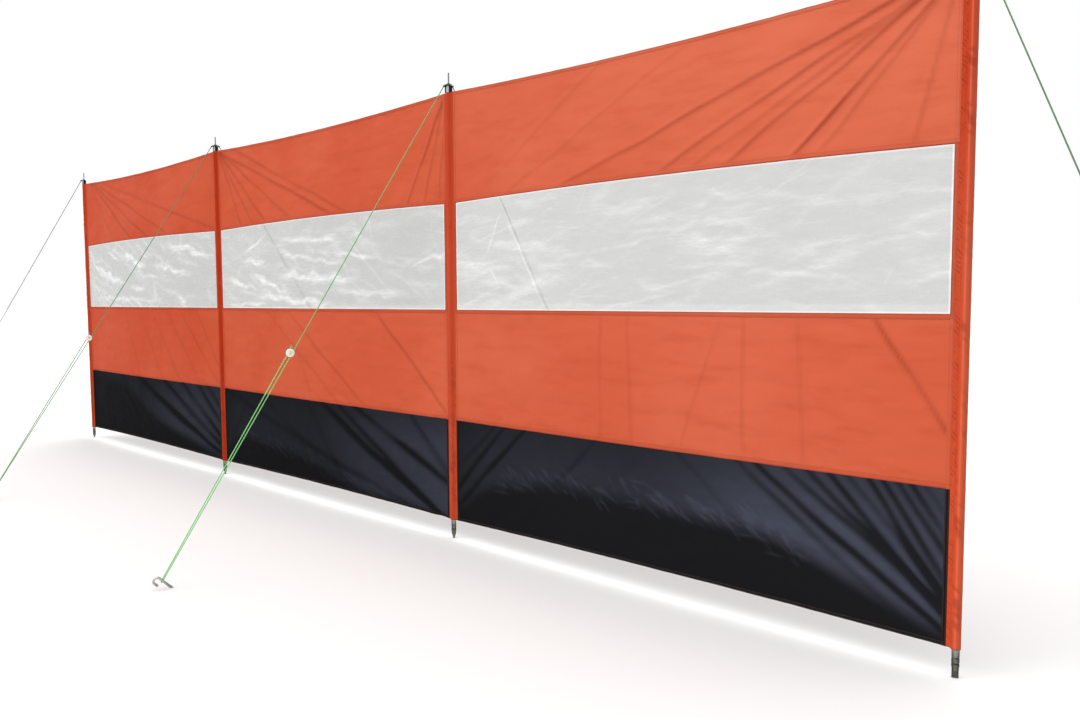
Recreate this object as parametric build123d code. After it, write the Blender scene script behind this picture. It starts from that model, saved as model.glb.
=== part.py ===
"""Beach windbreak: bays of cloth with clear windows, sleeved on steel poles and stayed by guy lines.

Millimetres, +Z up, +X along the row, and the front looks along -Y.
The origin is the flat tip of the first pole's ground spike, at ground level.
"""
import os
from math import cos, radians, sin

from build123d import *

# Row and cloth
bay_count = 3
bay_pitch = 1600.0
cloth_bottom = 62.0
skirt_height = 335.0
lower_panel_height = 365.0
window_height = 345.0
top_panel_height = 355.0
cloth_thickness = 1.6
hem_rise = 9.0
window_rise = 8.0
top_sag = 18.0

# Pole tube, with two rolled crimps that grip the ground spike
tube_diameter = 16.0
tube_wall = 1.2
tube_show = 17.0
crimp_heights = (31.0, 43.0)
crimp_ring_radius = 2.2
crimp_depth = 0.8

# Ground spike
spike_show = 24.0
spike_diameter = 14.0
spike_tip_width = 4.0
spike_bevel_height = 17.0
spike_tang_length = 55.0
press_clearance = 0.1
spike_turns = (70.0, 60.0, 50.0, 108.0)

# Top pin
pin_spigot_length = 25.0
pin_flange_thickness = 2.5
pin_shoulder_diameter = 7.0
pin_diameter = 5.0
pin_length = 34.0
pin_tip_chamfer = 1.0
shoulder_spare = 0.6

# Pole sleeve
sleeve_clearance = 0.3
sleeve_half_width = 20.0
sleeve_lip_width = 7.0
sleeve_pocket_tip = 0.4

# Top strap
strap_width = 15.0
strap_thickness = 2.0
strap_side_clearance = 0.6
strap_bend_radius = 2.0
strap_clearance = 0.3

# Guy lines: name, pole, plan direction in degrees, level on the pin
cord_diameter = 3.0
cord_clearance = 0.3
guy_neck_reach = 14.0
guy_bend_radius = 7.0
guy_reach = 890.0
return_lead = 12.0
return_bend_radius = 300.0
guys = (
    ("front_guy_1", 0, 225.0, 0),
    ("front_guy_2", 1, 258.0, 0),
    ("front_guy_3", 2, 258.0, 0),
    ("front_guy_4", 3, 320.0, 0),
    ("back_guy_2", 1, 90.0, 1),
    ("back_guy_3", 2, 90.0, 1),
)
knot_diameter = 7.5

# Guy runner
runner_share = 0.58
runner_diameter = 25.0
runner_thickness = 9.0
runner_edge_radius = 3.0
runner_slot_length = 12.0
runner_slot_width = 4.4

# Ground peg
peg_diameter = 7.0
peg_lean = 45.0
peg_seat_height = 24.0
peg_neck_length = 11.0
peg_hook_radius = 9.0
peg_tail_length = 12.0
ground_overrun = 30.0

# Worked out from the sizes above
cloth_top = cloth_bottom + skirt_height + lower_panel_height + window_height + top_panel_height
tube_radius = tube_diameter / 2
tube_bore_radius = tube_radius - tube_wall
tube_top = cloth_top + tube_show
flange_top = tube_top + pin_flange_thickness
strap_under = flange_top + strap_clearance
strap_top = strap_under + strap_thickness
cord_radius = cord_diameter / 2
pin_shoulder_radius = pin_shoulder_diameter / 2
loop_radius = pin_shoulder_radius + cord_clearance + cord_radius
loop_step = cord_diameter + cord_clearance
first_loop_height = strap_top + cord_clearance + cord_radius
loop_levels = 1 + max(level for name, pole, direction, level in guys)
shoulder_top = strap_top + loop_levels * loop_step + shoulder_spare
pin_tip = shoulder_top + pin_length
peg_radius = peg_diameter / 2
strand_radius = peg_radius + cord_clearance + cord_radius


def pole_place(pole):
    return Pos(pole * bay_pitch, 0, 0)


def upright_bar(radius, low, high):
    return Pos(0, 0, low) * extrude(Circle(radius), amount=high - low)


def pole_tube(pole):
    """Steel tube from the spike to the pin, rolled inwards at the two crimps."""
    tube = upright_bar(tube_radius, spike_show, tube_top)
    tube -= upright_bar(tube_bore_radius, spike_show, tube_top)
    for height in crimp_heights:
        ring_place = tube_radius + crimp_ring_radius - crimp_depth
        tube -= Pos(0, 0, height) * Torus(ring_place, crimp_ring_radius)
    return pole_place(pole) * tube


def ground_spike(pole):
    """Round shank with a tang in the tube and two bevels that leave a flat tip."""
    radius = spike_diameter / 2
    tip = spike_tip_width / 2
    side = Polyline(
        (-tip, 0),
        (tip, 0),
        (radius, spike_bevel_height),
        (radius, spike_show),
        (-radius, spike_show),
        (-radius, spike_bevel_height),
        close=True,
    )
    wedge = extrude(Plane.XZ * make_face(side), amount=radius, both=True)
    spike = upright_bar(radius, 0, spike_show) & wedge
    spike += upright_bar(tube_bore_radius - press_clearance, spike_show, spike_show + spike_tang_length)
    return pole_place(pole) * Rot(0, 0, spike_turns[pole]) * spike


def top_pin(pole):
    """Turned pin: spigot in the tube, flange on its end, shoulder for the loops, thin free pin."""
    spigot_radius = tube_bore_radius - press_clearance
    free_radius = pin_diameter / 2
    profile = Polyline(
        (0, tube_top - pin_spigot_length),
        (spigot_radius, tube_top - pin_spigot_length),
        (spigot_radius, tube_top),
        (tube_radius, tube_top),
        (tube_radius, flange_top),
        (pin_shoulder_radius, flange_top),
        (pin_shoulder_radius, shoulder_top),
        (free_radius, shoulder_top),
        (free_radius, pin_tip - pin_tip_chamfer),
        (free_radius - pin_tip_chamfer, pin_tip),
        (0, pin_tip),
        close=True,
    )
    return pole_place(pole) * revolve(Plane.XZ * make_face(profile), axis=Axis.Z)


def sleeve_hull(radius, sides, reach, width, height):
    """Taut cloth outline round the pole, drawn out to a flat end on each sewn side."""
    edges = list(Circle(radius).edges())
    for side in sides:
        flat_end = Pos(side * (reach - width / 2), 0) * Rectangle(width, height)
        edges.extend(flat_end.edges())
    return make_hull(edges)


def pole_sleeve(pole):
    """Full-height cloth pocket: sewn to one bay at the ends of the row and to two in between."""
    sides = [side for side, end in ((-1, 0), (1, bay_count)) if pole != end]
    pocket_radius = tube_radius + sleeve_clearance
    pocket_reach = sleeve_half_width - sleeve_lip_width
    outer = sleeve_hull(
        pocket_radius + cloth_thickness, sides, sleeve_half_width, sleeve_lip_width, cloth_thickness
    )
    pocket = sleeve_hull(pocket_radius, sides, pocket_reach, sleeve_pocket_tip, sleeve_pocket_tip)
    wall = extrude(outer - pocket, amount=cloth_top - cloth_bottom)
    return pole_place(pole) * Pos(0, 0, cloth_bottom) * wall


def top_strap(pole):
    """Webbing bent over the pole's end, with a hole for the pin and its feet on the sleeve."""
    leg = tube_radius + strap_side_clearance + strap_thickness / 2
    crown = strap_under + strap_thickness / 2
    path = FilletPolyline(
        (-leg, 0, cloth_top),
        (-leg, 0, crown),
        (leg, 0, crown),
        (leg, 0, cloth_top),
        radius=strap_bend_radius,
    )
    section = Plane(origin=(-leg, 0, cloth_top), z_dir=(0, 0, 1)) * Rectangle(strap_thickness, strap_width)
    strap = sweep(section, path=path)
    strap -= upright_bar(pin_shoulder_radius + cord_clearance, flange_top, shoulder_top)
    return pole_place(pole) * strap


def bowed_edge(start, end, height, bow):
    middle = (start + end) / 2
    return ThreePointArc((start, height), (middle, height + bow), (end, height))


def seam_edge(start, end, height):
    return Line((start, height), (end, height))


def cloth_band(bay, low, high, low_edge, high_edge):
    """One sewn band of a bay, from the sleeve on its left to the sleeve on its right."""
    left = bay * bay_pitch + sleeve_half_width
    right = (bay + 1) * bay_pitch - sleeve_half_width
    outline = [
        low_edge(left, right, low),
        Line((right, low), (right, high)),
        high_edge(left, right, high),
        Line((left, high), (left, low)),
    ]
    return extrude(Plane.XZ * make_face(outline), amount=cloth_thickness / 2, both=True)


def hem_edge(start, end, height):
    return bowed_edge(start, end, height, hem_rise)


def window_head_edge(start, end, height):
    return bowed_edge(start, end, height, window_rise)


def top_edge(start, end, height):
    return bowed_edge(start, end, height, -top_sag)


def bay_bands(bay):
    """Ground skirt, lower panel, clear window and top panel, sewn edge to edge."""
    skirt_top = cloth_bottom + skirt_height
    sill = skirt_top + lower_panel_height
    head = sill + window_height
    return {
        "ground_skirt": cloth_band(bay, cloth_bottom, skirt_top, hem_edge, seam_edge),
        "lower_panel": cloth_band(bay, skirt_top, sill, seam_edge, seam_edge),
        "window": cloth_band(bay, sill, head, seam_edge, window_head_edge),
        "top_panel": cloth_band(bay, head, cloth_top, window_head_edge, top_edge),
    }


class GuyLayout:
    """Points and directions of a guy line that leads out along +X from a pole at the origin."""

    def __init__(self, level):
        lean = radians(peg_lean)
        out = Vector(1, 0, 0)
        up = Vector(0, 0, 1)
        self.out = out
        self.across = Vector(0, 1, 0)
        self.peg_axis = out * sin(lean) + up * cos(lean)
        self.hook_way = out * cos(lean) - up * sin(lean)
        self.seat_along = peg_seat_height / cos(lean)
        self.loop_centre = up * (first_loop_height + level * loop_step)
        self.neck = self.loop_centre + out * guy_neck_reach
        self.strand_end = out * guy_reach + self.peg_axis * self.seat_along
        self.seat = self.strand_end - self.across * strand_radius
        strand = self.strand_end - self.neck
        self.along = strand.normalized()
        self.outward = self.along.cross(self.across)
        self.runner = self.neck + strand * runner_share + self.outward * strand_radius
        self.turn_end = self.seat - self.across * strand_radius
        self.lead_end = self.turn_end - self.along * return_lead
        return_bore = self.runner + self.outward * strand_radius
        self.back = (return_bore - self.lead_end).normalized()
        self.knot = return_bore + self.back * (runner_diameter / 2 + knot_diameter / 2)


def guy_line(layout):
    """One cord: loop on the pin, straight strand, turn round the peg, and back above it to a knot."""
    start = layout.loop_centre + layout.out * loop_radius
    strand = FilletPolyline(start, layout.neck, layout.strand_end, radius=guy_bend_radius)
    turn = ThreePointArc(layout.strand_end, layout.seat + layout.along * strand_radius, layout.turn_end)
    back = FilletPolyline(layout.turn_end, layout.lead_end, layout.knot, radius=return_bend_radius)
    path = Wire(list(strand.edges()) + [turn.edge()] + list(back.edges()))
    cord = sweep(Plane(origin=start, z_dir=layout.out) * Circle(cord_radius), path=path)
    cord += Pos(layout.loop_centre) * Torus(loop_radius, cord_radius)
    cord += Plane(origin=layout.knot, z_dir=layout.across) * Sphere(knot_diameter / 2)
    return cord


def guy_runner(layout):
    """Moulded disc on edge with a finger slot, bored for the two strands one above the other."""
    disc = extrude(Circle(runner_diameter / 2), amount=runner_thickness / 2, both=True)
    disc = fillet(disc.edges(), runner_edge_radius)
    disc -= extrude(SlotOverall(runner_slot_length, runner_slot_width), amount=runner_thickness, both=True)
    disc = Plane(origin=layout.runner, x_dir=layout.along, z_dir=layout.across) * disc
    for side, way in ((-1, layout.along), (1, layout.back)):
        middle = layout.runner + layout.outward * (side * strand_radius)
        bore = extrude(Circle(cord_radius + cord_clearance), amount=runner_diameter, both=True)
        disc -= Plane(origin=middle, z_dir=way) * bore
    return disc


def ground_peg(layout):
    """Bent steel rod from ground level up, leaning away, with a hook over the cord."""
    low = layout.seat - layout.peg_axis * (layout.seat_along + ground_overrun)
    bend = layout.seat + layout.peg_axis * peg_neck_length
    crown = bend + layout.hook_way * peg_hook_radius + layout.peg_axis * peg_hook_radius
    far = bend + layout.hook_way * (2 * peg_hook_radius)
    shank = Line(low, bend)
    hook = ThreePointArc(bend, crown, far)
    tail = Line(far, far - layout.peg_axis * peg_tail_length)
    path = Wire([shank.edge(), hook.edge(), tail.edge()])
    rod = sweep(Plane(origin=low, z_dir=layout.peg_axis) * Circle(peg_radius), path=path)
    ground_place = Pos(layout.seat.X, layout.seat.Y, -ground_overrun)
    ground = ground_place * Box(4 * ground_overrun, 4 * ground_overrun, 2 * ground_overrun)
    return rod - ground


def windbreak():
    nodes = {}
    for pole in range(bay_count + 1):
        number = pole + 1
        nodes[f"pole_tube_{number}"] = pole_tube(pole)
        nodes[f"ground_spike_{number}"] = ground_spike(pole)
        nodes[f"top_pin_{number}"] = top_pin(pole)
        nodes[f"pole_sleeve_{number}"] = pole_sleeve(pole)
        nodes[f"top_strap_{number}"] = top_strap(pole)
    for bay in range(bay_count):
        for name, band in bay_bands(bay).items():
            nodes[f"bay_{bay + 1}_{name}"] = band
    for name, pole, direction, level in guys:
        layout = GuyLayout(level)
        place = pole_place(pole) * Rot(0, 0, direction)
        nodes[name] = place * guy_line(layout)
        nodes[f"{name}_runner"] = place * guy_runner(layout)
        nodes[f"{name}_peg"] = place * ground_peg(layout)
    return nodes


os.makedirs("parts", exist_ok=True)
for node, solid in windbreak().items():
    export_step(solid, f"parts/{node}.step")
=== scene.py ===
"""Beach windbreak: cloth, clear film, webbing, cord and worn steel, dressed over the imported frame."""
import math

import bpy
import numpy as np
from bpy.props import FloatProperty, FloatVectorProperty, IntProperty, PointerProperty
from mathutils import Matrix, Vector


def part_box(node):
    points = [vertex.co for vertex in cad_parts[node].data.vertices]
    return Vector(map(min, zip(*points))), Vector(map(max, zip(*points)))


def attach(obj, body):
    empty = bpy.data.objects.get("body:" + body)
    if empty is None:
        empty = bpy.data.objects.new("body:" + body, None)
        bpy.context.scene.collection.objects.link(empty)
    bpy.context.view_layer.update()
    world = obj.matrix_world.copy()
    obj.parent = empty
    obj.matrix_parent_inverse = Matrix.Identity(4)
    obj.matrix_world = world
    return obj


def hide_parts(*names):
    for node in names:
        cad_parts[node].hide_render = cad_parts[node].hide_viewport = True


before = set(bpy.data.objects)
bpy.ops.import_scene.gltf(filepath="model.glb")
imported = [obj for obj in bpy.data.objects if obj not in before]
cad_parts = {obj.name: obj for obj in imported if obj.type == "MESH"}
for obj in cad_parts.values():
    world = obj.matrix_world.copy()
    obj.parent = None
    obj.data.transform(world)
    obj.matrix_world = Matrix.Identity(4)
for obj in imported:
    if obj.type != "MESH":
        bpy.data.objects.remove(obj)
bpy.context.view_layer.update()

bl_info = {
    "name": "Beach windbreak",
    "version": (1, 0, 0),
    "blender": (4, 5, 0),
    "location": "3D View > Sidebar > Windbreak",
    "description": "Dresses the packed windbreak in cloth, film, webbing, cord and worn steel",
    "category": "Object",
}

POLES = range(1, 5)
BAYS = range(1, 4)
BODY = "root"

# Tension folds of each panel: share of the width at its lower edge, at its upper edge, strength share
FOLD_SHARES = {
    "bay_1_top_panel": (
        (0.26, 0.04, 0.5), (0.42, 0.05, 0.8), (0.56, 0.06, 0.7), (0.72, 0.08, 0.7), (1.02, 0.12, 0.6),
        (0.96, 1.0, 0.3),
    ),
    "bay_2_top_panel": (
        (0.13, 0.0, 0.7), (0.20, 0.0, 0.5), (0.28, 0.0, 0.8), (0.42, 0.0, 0.6), (0.60, 0.0, 0.7),
        (0.66, 0.08, 0.5), (0.87, 1.0, 0.8), (0.93, 1.0, 0.6), (0.98, 1.0, 0.4),
    ),
    "bay_3_top_panel": (
        (0.28, 1.0, 0.9), (0.50, 1.0, 0.7), (0.57, 1.0, 0.4), (0.64, 1.0, 0.9), (0.76, 1.0, 1.0),
        (0.80, 1.0, 0.4), (0.94, 1.0, 0.4), (0.06, 0.42, 0.2), (0.14, 0.62, 0.2),
    ),
    "bay_1_lower_panel": (
        (0.45, 0.33, 0.5), (0.62, 0.45, 0.4), (0.74, 0.55, 0.5), (0.88, 0.66, 0.4), (1.0, 0.75, 0.6),
        (1.04, 0.86, 0.5),
    ),
    "bay_2_lower_panel": (
        (0.48, 0.35, 0.3), (0.60, 0.25, 0.4), (0.71, 0.36, 0.5), (1.01, 0.75, 0.7), (0.31, 0.30, 0.2),
    ),
    "bay_3_lower_panel": (
        (0.40, 0.40, 0.25), (0.47, 0.46, 0.25), (0.69, 0.69, 0.25), (0.79, 0.78, 0.25), (1.04, 0.89, 0.8),
        (0.57, 0.65, 0.2),
    ),
    "bay_1_ground_skirt": (
        (1.04, 0.43, 1.0), (1.08, 0.63, 0.9), (1.10, 0.76, 0.7), (1.13, 0.86, 0.7), (1.18, 0.92, 0.5),
        (0.55, 0.30, 0.3),
    ),
    "bay_2_ground_skirt": (
        (0.97, 0.52, 1.0), (0.98, 0.59, 0.7), (1.18, 0.66, 0.8), (0.65, 0.45, 0.25), (0.89, 0.0, 0.5),
        (0.70, 0.20, 0.25), (1.10, 0.87, 0.4), (0.0, 0.16, 0.25),
    ),
    "bay_3_ground_skirt": (
        (0.97, 0.68, 0.5), (1.02, 0.71, 1.0), (0.85, 0.56, 0.35), (1.07, 0.76, 0.8), (1.05, 0.80, 0.7),
        (1.03, 0.83, 0.9), (1.06, 0.86, 0.6), (1.04, 0.89, 0.7), (1.06, 0.91, 0.8), (1.09, 0.93, 0.7),
        (1.11, 0.95, 0.7), (1.13, 0.97, 0.4), (-0.07, 0.15, 0.8), (-0.03, 0.21, 0.9), (0.18, 0.39, 0.35),
        (-0.12, 0.12, 0.5),
    ),
}

# Fullest line of each ground skirt: share along the bay, share up the skirt
FULLEST_SHARES = {
    1: ((0.0, 0.95), (0.3, 0.88), (0.4, 0.75), (0.55, 0.45), (0.7, 0.3), (1.0, 0.05)),
    2: ((0.0, 0.1), (0.1, 0.46), (0.4, 0.34), (0.65, 0.12), (1.0, 0.0)),
    3: ((0.0, 0.1), (0.1, 0.42), (0.3, 0.57), (0.45, 0.57), (0.75, 0.52), (0.9, 0.25), (1.0, 0.08)),
}

# How broad the folds of each ground skirt are
FOLD_BREADTHS = {1: 1.6, 2: 1.45, 3: 1.0}

# How much each ground skirt is rippled along its fullest line
RIPPLED = {1: 0.2, 2: 0.7, 3: 1.0}

# Small smears of each window: mean slant in degrees, length share, strength share
SMEARS = {1: (-18.0, 0.9, 0.62), 2: (-15.0, 0.9, 0.48), 3: (4.0, 1.2, 0.6)}

# Broad smears of a window: shares across and up it at one end and at the other, width share, strength share
SMEAR_SHARES = {
    1: (
        (0.7, 0.9, 0.95, 0.7, 0.7, 0.9), (0.35, 0.8, 0.5, 0.6, 1.0, 0.9), (0.6, 0.6, 0.8, 0.5, 0.7, 0.8),
        (0.1, 0.6, 0.3, 0.4, 1.0, 0.9), (0.4, 0.3, 0.5, 0.25, 0.7, 0.7), (0.05, 0.7, 0.15, 0.5, 0.6, 0.6),
        (0.2, 0.85, 0.3, 0.7, 0.4, 0.6), (0.75, 0.15, 0.8, 0.1, 0.6, 0.7), (0.1, 0.15, 0.6, 0.1, 0.6, 0.4),
        (0.5, 0.45, 0.6, 0.45, 0.4, 0.6),
    ),
    2: (
        (0.35, 0.4, 0.65, 0.3, 1.0, 0.9), (0.05, 0.35, 0.2, 0.25, 0.5, 0.7),
        (0.2, 0.4, 0.35, 0.2, 0.6, 0.8), (0.25, 0.15, 0.55, 0.05, 0.7, 0.9),
        (0.15, 0.6, 0.25, 0.55, 0.6, 0.8), (0.35, 0.65, 0.5, 0.55, 0.5, 0.7),
        (0.35, 0.8, 0.6, 0.75, 0.6, 0.7), (0.6, 0.6, 0.75, 0.55, 0.4, 0.6),
        (0.05, 0.05, 0.25, 0.05, 0.4, 0.6), (0.6, 0.2, 0.85, 0.15, 0.6, 0.4),
        (0.15, 0.7, 0.25, 0.85, 0.4, 0.6), (0.5, 0.55, 0.6, 0.5, 0.4, 0.6),
        (0.9, 0.45, 1.0, 0.55, 0.4, 0.5),
    ),
}

# Long scratches of a window: shares across and up it at one end and at the other, strength share
SCRATCH_SHARES = {
    2: ((0.65, 0.75, 0.8, 0.2, 0.8),),
    3: (
        (0.14, 0.86, 0.1, 0.5, 0.9), (0.11, 0.37, 0.13, 0.27, 0.8), (0.15, 0.9, 0.25, 0.1, 0.8),
        (0.25, 0.76, 0.32, 0.74, 0.4),
    ),
}

# Mesh rows up the laps beside the sleeves
SIDE_LAP_ROWS = {"orange": 130, "black": 50}

# Points round a cord, and round half of a strap
CORD_SIDES = 10
STRAP_SIDES = 8

# Guy lines: name, pole, plan direction in degrees, level of the loop on the pin, how much painted shade
# darkens the cord
GUYS = (
    ("front_guy_1", 1, 225.0, 0, 0.90),
    ("front_guy_2", 2, 258.0, 0, 0.55),
    ("front_guy_3", 3, 258.0, 0, 0.08),
    ("front_guy_4", 4, 320.0, 0, 0.72),
    ("back_guy_2", 2, 90.0, 1, 0.0),
    ("back_guy_3", 3, 90.0, 1, 0.0),
)


def length(name, description, default):
    return FloatProperty(
        name=name, description=description, default=default, unit="LENGTH", subtype="DISTANCE", precision=5
    )


def colour(name, description, default):
    return FloatVectorProperty(
        name=name, description=description, default=default, size=3, min=0, max=1, subtype="COLOR"
    )


def share(name, description, default):
    return FloatProperty(name=name, description=description, default=default, min=0, max=1, subtype="FACTOR")


class ClothSettings(bpy.types.PropertyGroup):
    """Sizes and colours of the panels, windows, sleeves and their sewing."""

    hem_rise: length("Hem rise", "How far the bottom hem bows up between two poles", 0.009)
    window_rise: length("Window rise", "How far the window's head bows up between two poles", 0.008)
    top_sag: length("Top sag", "How far the top edge hangs down between two poles", 0.018)
    cloth_step: length("Cloth step", "Mesh spacing of the cloth panels", 0.007)
    skirt_step: length("Skirt step", "Mesh spacing of the ground skirts", 0.004)
    film_step: length("Film step", "Mesh spacing of the windows", 0.005)
    billow: length("Billow", "How far the middle of a bay stands out to the front", 0.012)
    panel_fold_height: length("Panel fold height", "Height of a strong fold in the orange panels", 0.0036)
    panel_fold_width: length("Panel fold width", "Half width of a fold in the orange panels", 0.013)
    skirt_fold_height: length("Skirt fold height", "Depth of a strong fold in the ground skirts", 0.006)
    skirt_fold_width: length("Skirt fold width", "Half width of a fold in the ground skirts", 0.018)
    belly_depth: length("Belly depth", "How far a ground skirt hangs out to the front", 0.016)
    ripple: length("Ripple", "Height of the small ripples along a skirt's fullest line", 0.0016)
    ripple_length: length("Ripple length", "Half length of a long ripple", 0.032)
    ripple_width: length("Ripple width", "Half width of a ripple", 0.0032)
    ripple_count: IntProperty(name="Ripple count", description="Ripples in one skirt", default=170, min=0)
    crumple: length("Crumple", "Height of the small crumples", 0.0011)
    pucker_height: length("Pucker height", "Height of the puckers along a seam", 0.0008)
    pucker_length: length("Pucker length", "Length of one pucker along a seam", 0.022)
    pucker_reach: length("Pucker reach", "How far the puckers run in from a seam", 0.03)
    hem_width: length("Hem width", "Width of the folded top and bottom hems", 0.010)
    seam_width: length("Seam width", "Width of the lapped seams between panels", 0.012)
    side_lap_width: length("Side lap width", "Width of the laps beside the sleeves", 0.0096)
    dark_edge: share("Dark edge", "Share of a lap that is shaded where it turns under", 0.17)
    lap_step: length("Lap step", "Mesh spacing along a hem or lapped seam", 0.008)
    lap_thickness: length("Lap thickness", "Thickness of a hem or lapped seam", 0.0018)
    weave_pitch: length("Weave pitch", "Spacing of two threads in the orange cloth", 0.0011)
    skirt_weave_pitch: length("Skirt weave pitch", "Spacing of two threads in the black cloth", 0.0013)
    stitch_pitch: length("Stitch pitch", "Spacing of the stitches in a row", 0.0052)
    stitch_length: length("Stitch length", "Length of thread that shows in one stitch", 0.0040)
    thread_twist: length("Thread twist", "Length of one turn of the sewing thread", 0.0011)
    thread_width: length("Thread width", "Width of the sewing thread", 0.0008)
    crease_length: length("Crease length", "Half length of a long scratch in the film", 0.10)
    crease_width: length("Crease width", "Half width of a scratch in the film", 0.0024)
    crease_count: IntProperty(name="Crease count", description="Scratches in one window", default=36, min=0)
    crease_height: length("Crease height", "Height of a scratch in the film", 0.0008)
    rim_width: length("Rim width", "Width of the white welded rim of the film", 0.005)
    smear_length: length("Smear length", "Half length of a long smear on the film", 0.11)
    smear_width: length("Smear width", "Half width of a broad smear on the film", 0.015)
    smear_count: IntProperty(name="Smear count", description="Smears on one window", default=90, min=0)
    sleeve_lip: length("Sleeve lip", "Width of the sewn flat end of a sleeve", 0.007)
    stroke_pitch: length("Stroke pitch", "Spacing of the small slanting rucks in a sleeve", 0.0105)
    sleeve_rows: IntProperty(name="Sleeve rows", description="Mesh rows up a sleeve", default=420, min=20)
    turned_rows: IntProperty(
        name="Turned rows", description="Mesh rows turned in at a sleeve's ends", default=6, min=1
    )
    turned_share: share("Turned share", "Width of a sleeve's turned-in ends", 0.93)
    sleeve_wrinkle: length("Sleeve wrinkle", "Height of the wrinkles in a sleeve", 0.0011)
    orange: colour("Orange cloth", "Colour of the orange cloth at the row's left end", (0.438, 0.050, 0.0128))
    # Paler orange at the row's right end; also the pale patches on the sleeves.
    faded: colour("Faded orange", "Colour of the orange cloth at the row's right end", (0.520, 0.090, 0.040))
    # Sun bleaching with painted sheen high at the right; also the painted highlight on the right-hand
    # sleeve's tube.
    pale_and_lit_orange: colour("Bleached orange", "Colour of the orange cloth high at the right", (0.57, 0.125, 0.066))
    # The sleeve colours are painted light and shade: deeper where shaded, lit at the right end, a painted
    # glow low down, and painted shade on the far side.
    sleeve: colour("Sleeve cloth", "Colour of the sleeves at the row's left end", (0.375, 0.028, 0.005))
    lit_sleeve: colour("Faded sleeve", "Colour of the sleeve at the row's right end", (0.51, 0.078, 0.032))
    sleeve_glow: colour("Sleeve glow", "Colour of the right-hand sleeve low down", (0.60, 0.085, 0.030))
    sleeve_shade: colour("Sleeve shade", "Colour of the right-hand sleeve's far side", (0.26, 0.065, 0.036))
    black: colour("Black cloth", "Colour of the black cloth", (0.0068, 0.0069, 0.0079))
    # Colour of the painted sheen on the black cloth, standing in for the reflection of the sky.
    sheen_black: colour("Dusty black", "Colour of the black cloth where it is dusty", (0.046, 0.051, 0.072))
    film: colour("Clear film", "Colour of the clear film's haze", (0.37, 0.378, 0.355))
    orange_thread: colour("Orange thread", "Colour of the thread on orange cloth", (0.34, 0.048, 0.020))
    brown_thread: colour("Brown thread", "Colour of the thread on black cloth", (0.16, 0.075, 0.045))


class PoleSettings(bpy.types.PropertyGroup):
    """Colours and sizes of the poles, their pins and straps."""

    steel: colour("Steel", "Colour of clean galvanised steel", (0.54, 0.55, 0.56))
    weathered: colour("Weathered steel", "Colour of the steel near the ground", (0.13, 0.13, 0.10))
    # Painted dark reflection at the steel's sides near the ground.
    edge: colour("Steel edge", "Colour of the steel where it turns away", (0.020, 0.020, 0.016))
    # Painted shade in the two crimps.
    crimp_shade: colour("Crimp dirt", "Colour of the dirt in the two crimps", (0.010, 0.010, 0.008))
    low_crimp: length("Low crimp", "Height of the lower crimp", 0.031)
    high_crimp: length("High crimp", "Height of the upper crimp", 0.043)
    crimp_width: length("Crimp width", "Half width of a crimp's dirt", 0.0036)
    rust: colour("Rust", "Colour of the rust spots", (0.16, 0.065, 0.025))
    weather_height: length("Weather height", "How far up the poles are weathered", 0.09)
    bright_end: length("Bright end", "Height where the steel of a pin starts to dull", 1.484)
    dull_start: length("Dull start", "Height where the steel of a pin is dull", 1.490)
    webbing: colour("Webbing", "Colour of the straps' webbing", (0.006, 0.006, 0.007))
    strap_thickness: length("Strap thickness", "Thickness of a strap's webbing", 0.002)
    strap_bend: length("Strap bend", "Radius of a strap's bend at its middle", 0.0024)
    strap_hole: length("Strap hole", "Radius of the hole for the pin", 0.0038)
    strap_step: length("Strap step", "Mesh spacing along a strap", 0.00045)
    webbing_pitch: length("Webbing pitch", "Spacing of two threads in the webbing", 0.0016)
    rib_pitch: length("Rib pitch", "Spacing of the ribs across the webbing", 0.0018)


class GuySettings(bpy.types.PropertyGroup):
    """Sizes and colours of the guy lines, runners and pegs."""

    cord_diameter: length("Cord diameter", "Diameter of the guy cord", 0.003)
    loop_radius: length("Loop radius", "Radius of the loop on the pin, at the cord's centre", 0.0053)
    first_loop_height: length("Loop height", "Height of the lowest loop", 1.4856)
    loop_step: length("Loop step", "Height between two loops on one pin", 0.0033)
    neck_reach: length("Neck reach", "Distance of the loop's knot from the pin's axis", 0.014)
    guy_reach: length("Guy reach", "Distance of a peg's foot from its pole", 0.890)
    peg_seat_height: length("Peg seat height", "Height of the cord's turn on the peg", 0.024)
    peg_lean: FloatProperty(
        name="Peg lean", description="Lean of a peg from upright", default=math.radians(45), subtype="ANGLE"
    )
    strand_radius: length("Strand radius", "Radius of the cord's turn round the peg", 0.0053)
    return_lead: length("Return lead", "Length of the returning strand before it bends to the runner", 0.012)
    runner_share: share("Runner share", "Place of the runner along the strand", 0.58)
    runner_radius: length("Runner radius", "Radius of the runner disc", 0.0125)
    knot_radius: length("Knot radius", "Radius of the cord's end knot", 0.00375)
    tail_length: length("Tail length", "Length of cord left beyond the end knot", 0.012)
    strand_lead: length("Strand lead", "Length of cord between the neck and the straight strand", 0.004)
    loop_knot_reach: length("Loop knot reach", "Distance of the loop's knot from the neck", 0.006)
    cord_step: length("Cord step", "Mesh spacing along the cord", 0.010)
    braid_pitch: length("Braid pitch", "Length of one turn of the braid", 0.009)
    cord: colour("Cord", "Main colour of the guy cord", (0.17, 0.62, 0.16))
    fleck: colour("Fleck", "Colour of the cord's pale fleck", (0.42, 0.80, 0.36))
    # Colour the cord takes where painted shade darkens it; it is also darkened above the runners and at the
    # loops on the pins.
    dull: colour("Dull cord", "Colour of the cord where it is soiled and dull", (0.035, 0.052, 0.030))
    runner: colour("Runner", "Colour of the runner's plastic", (0.80, 0.79, 0.72))


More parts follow.
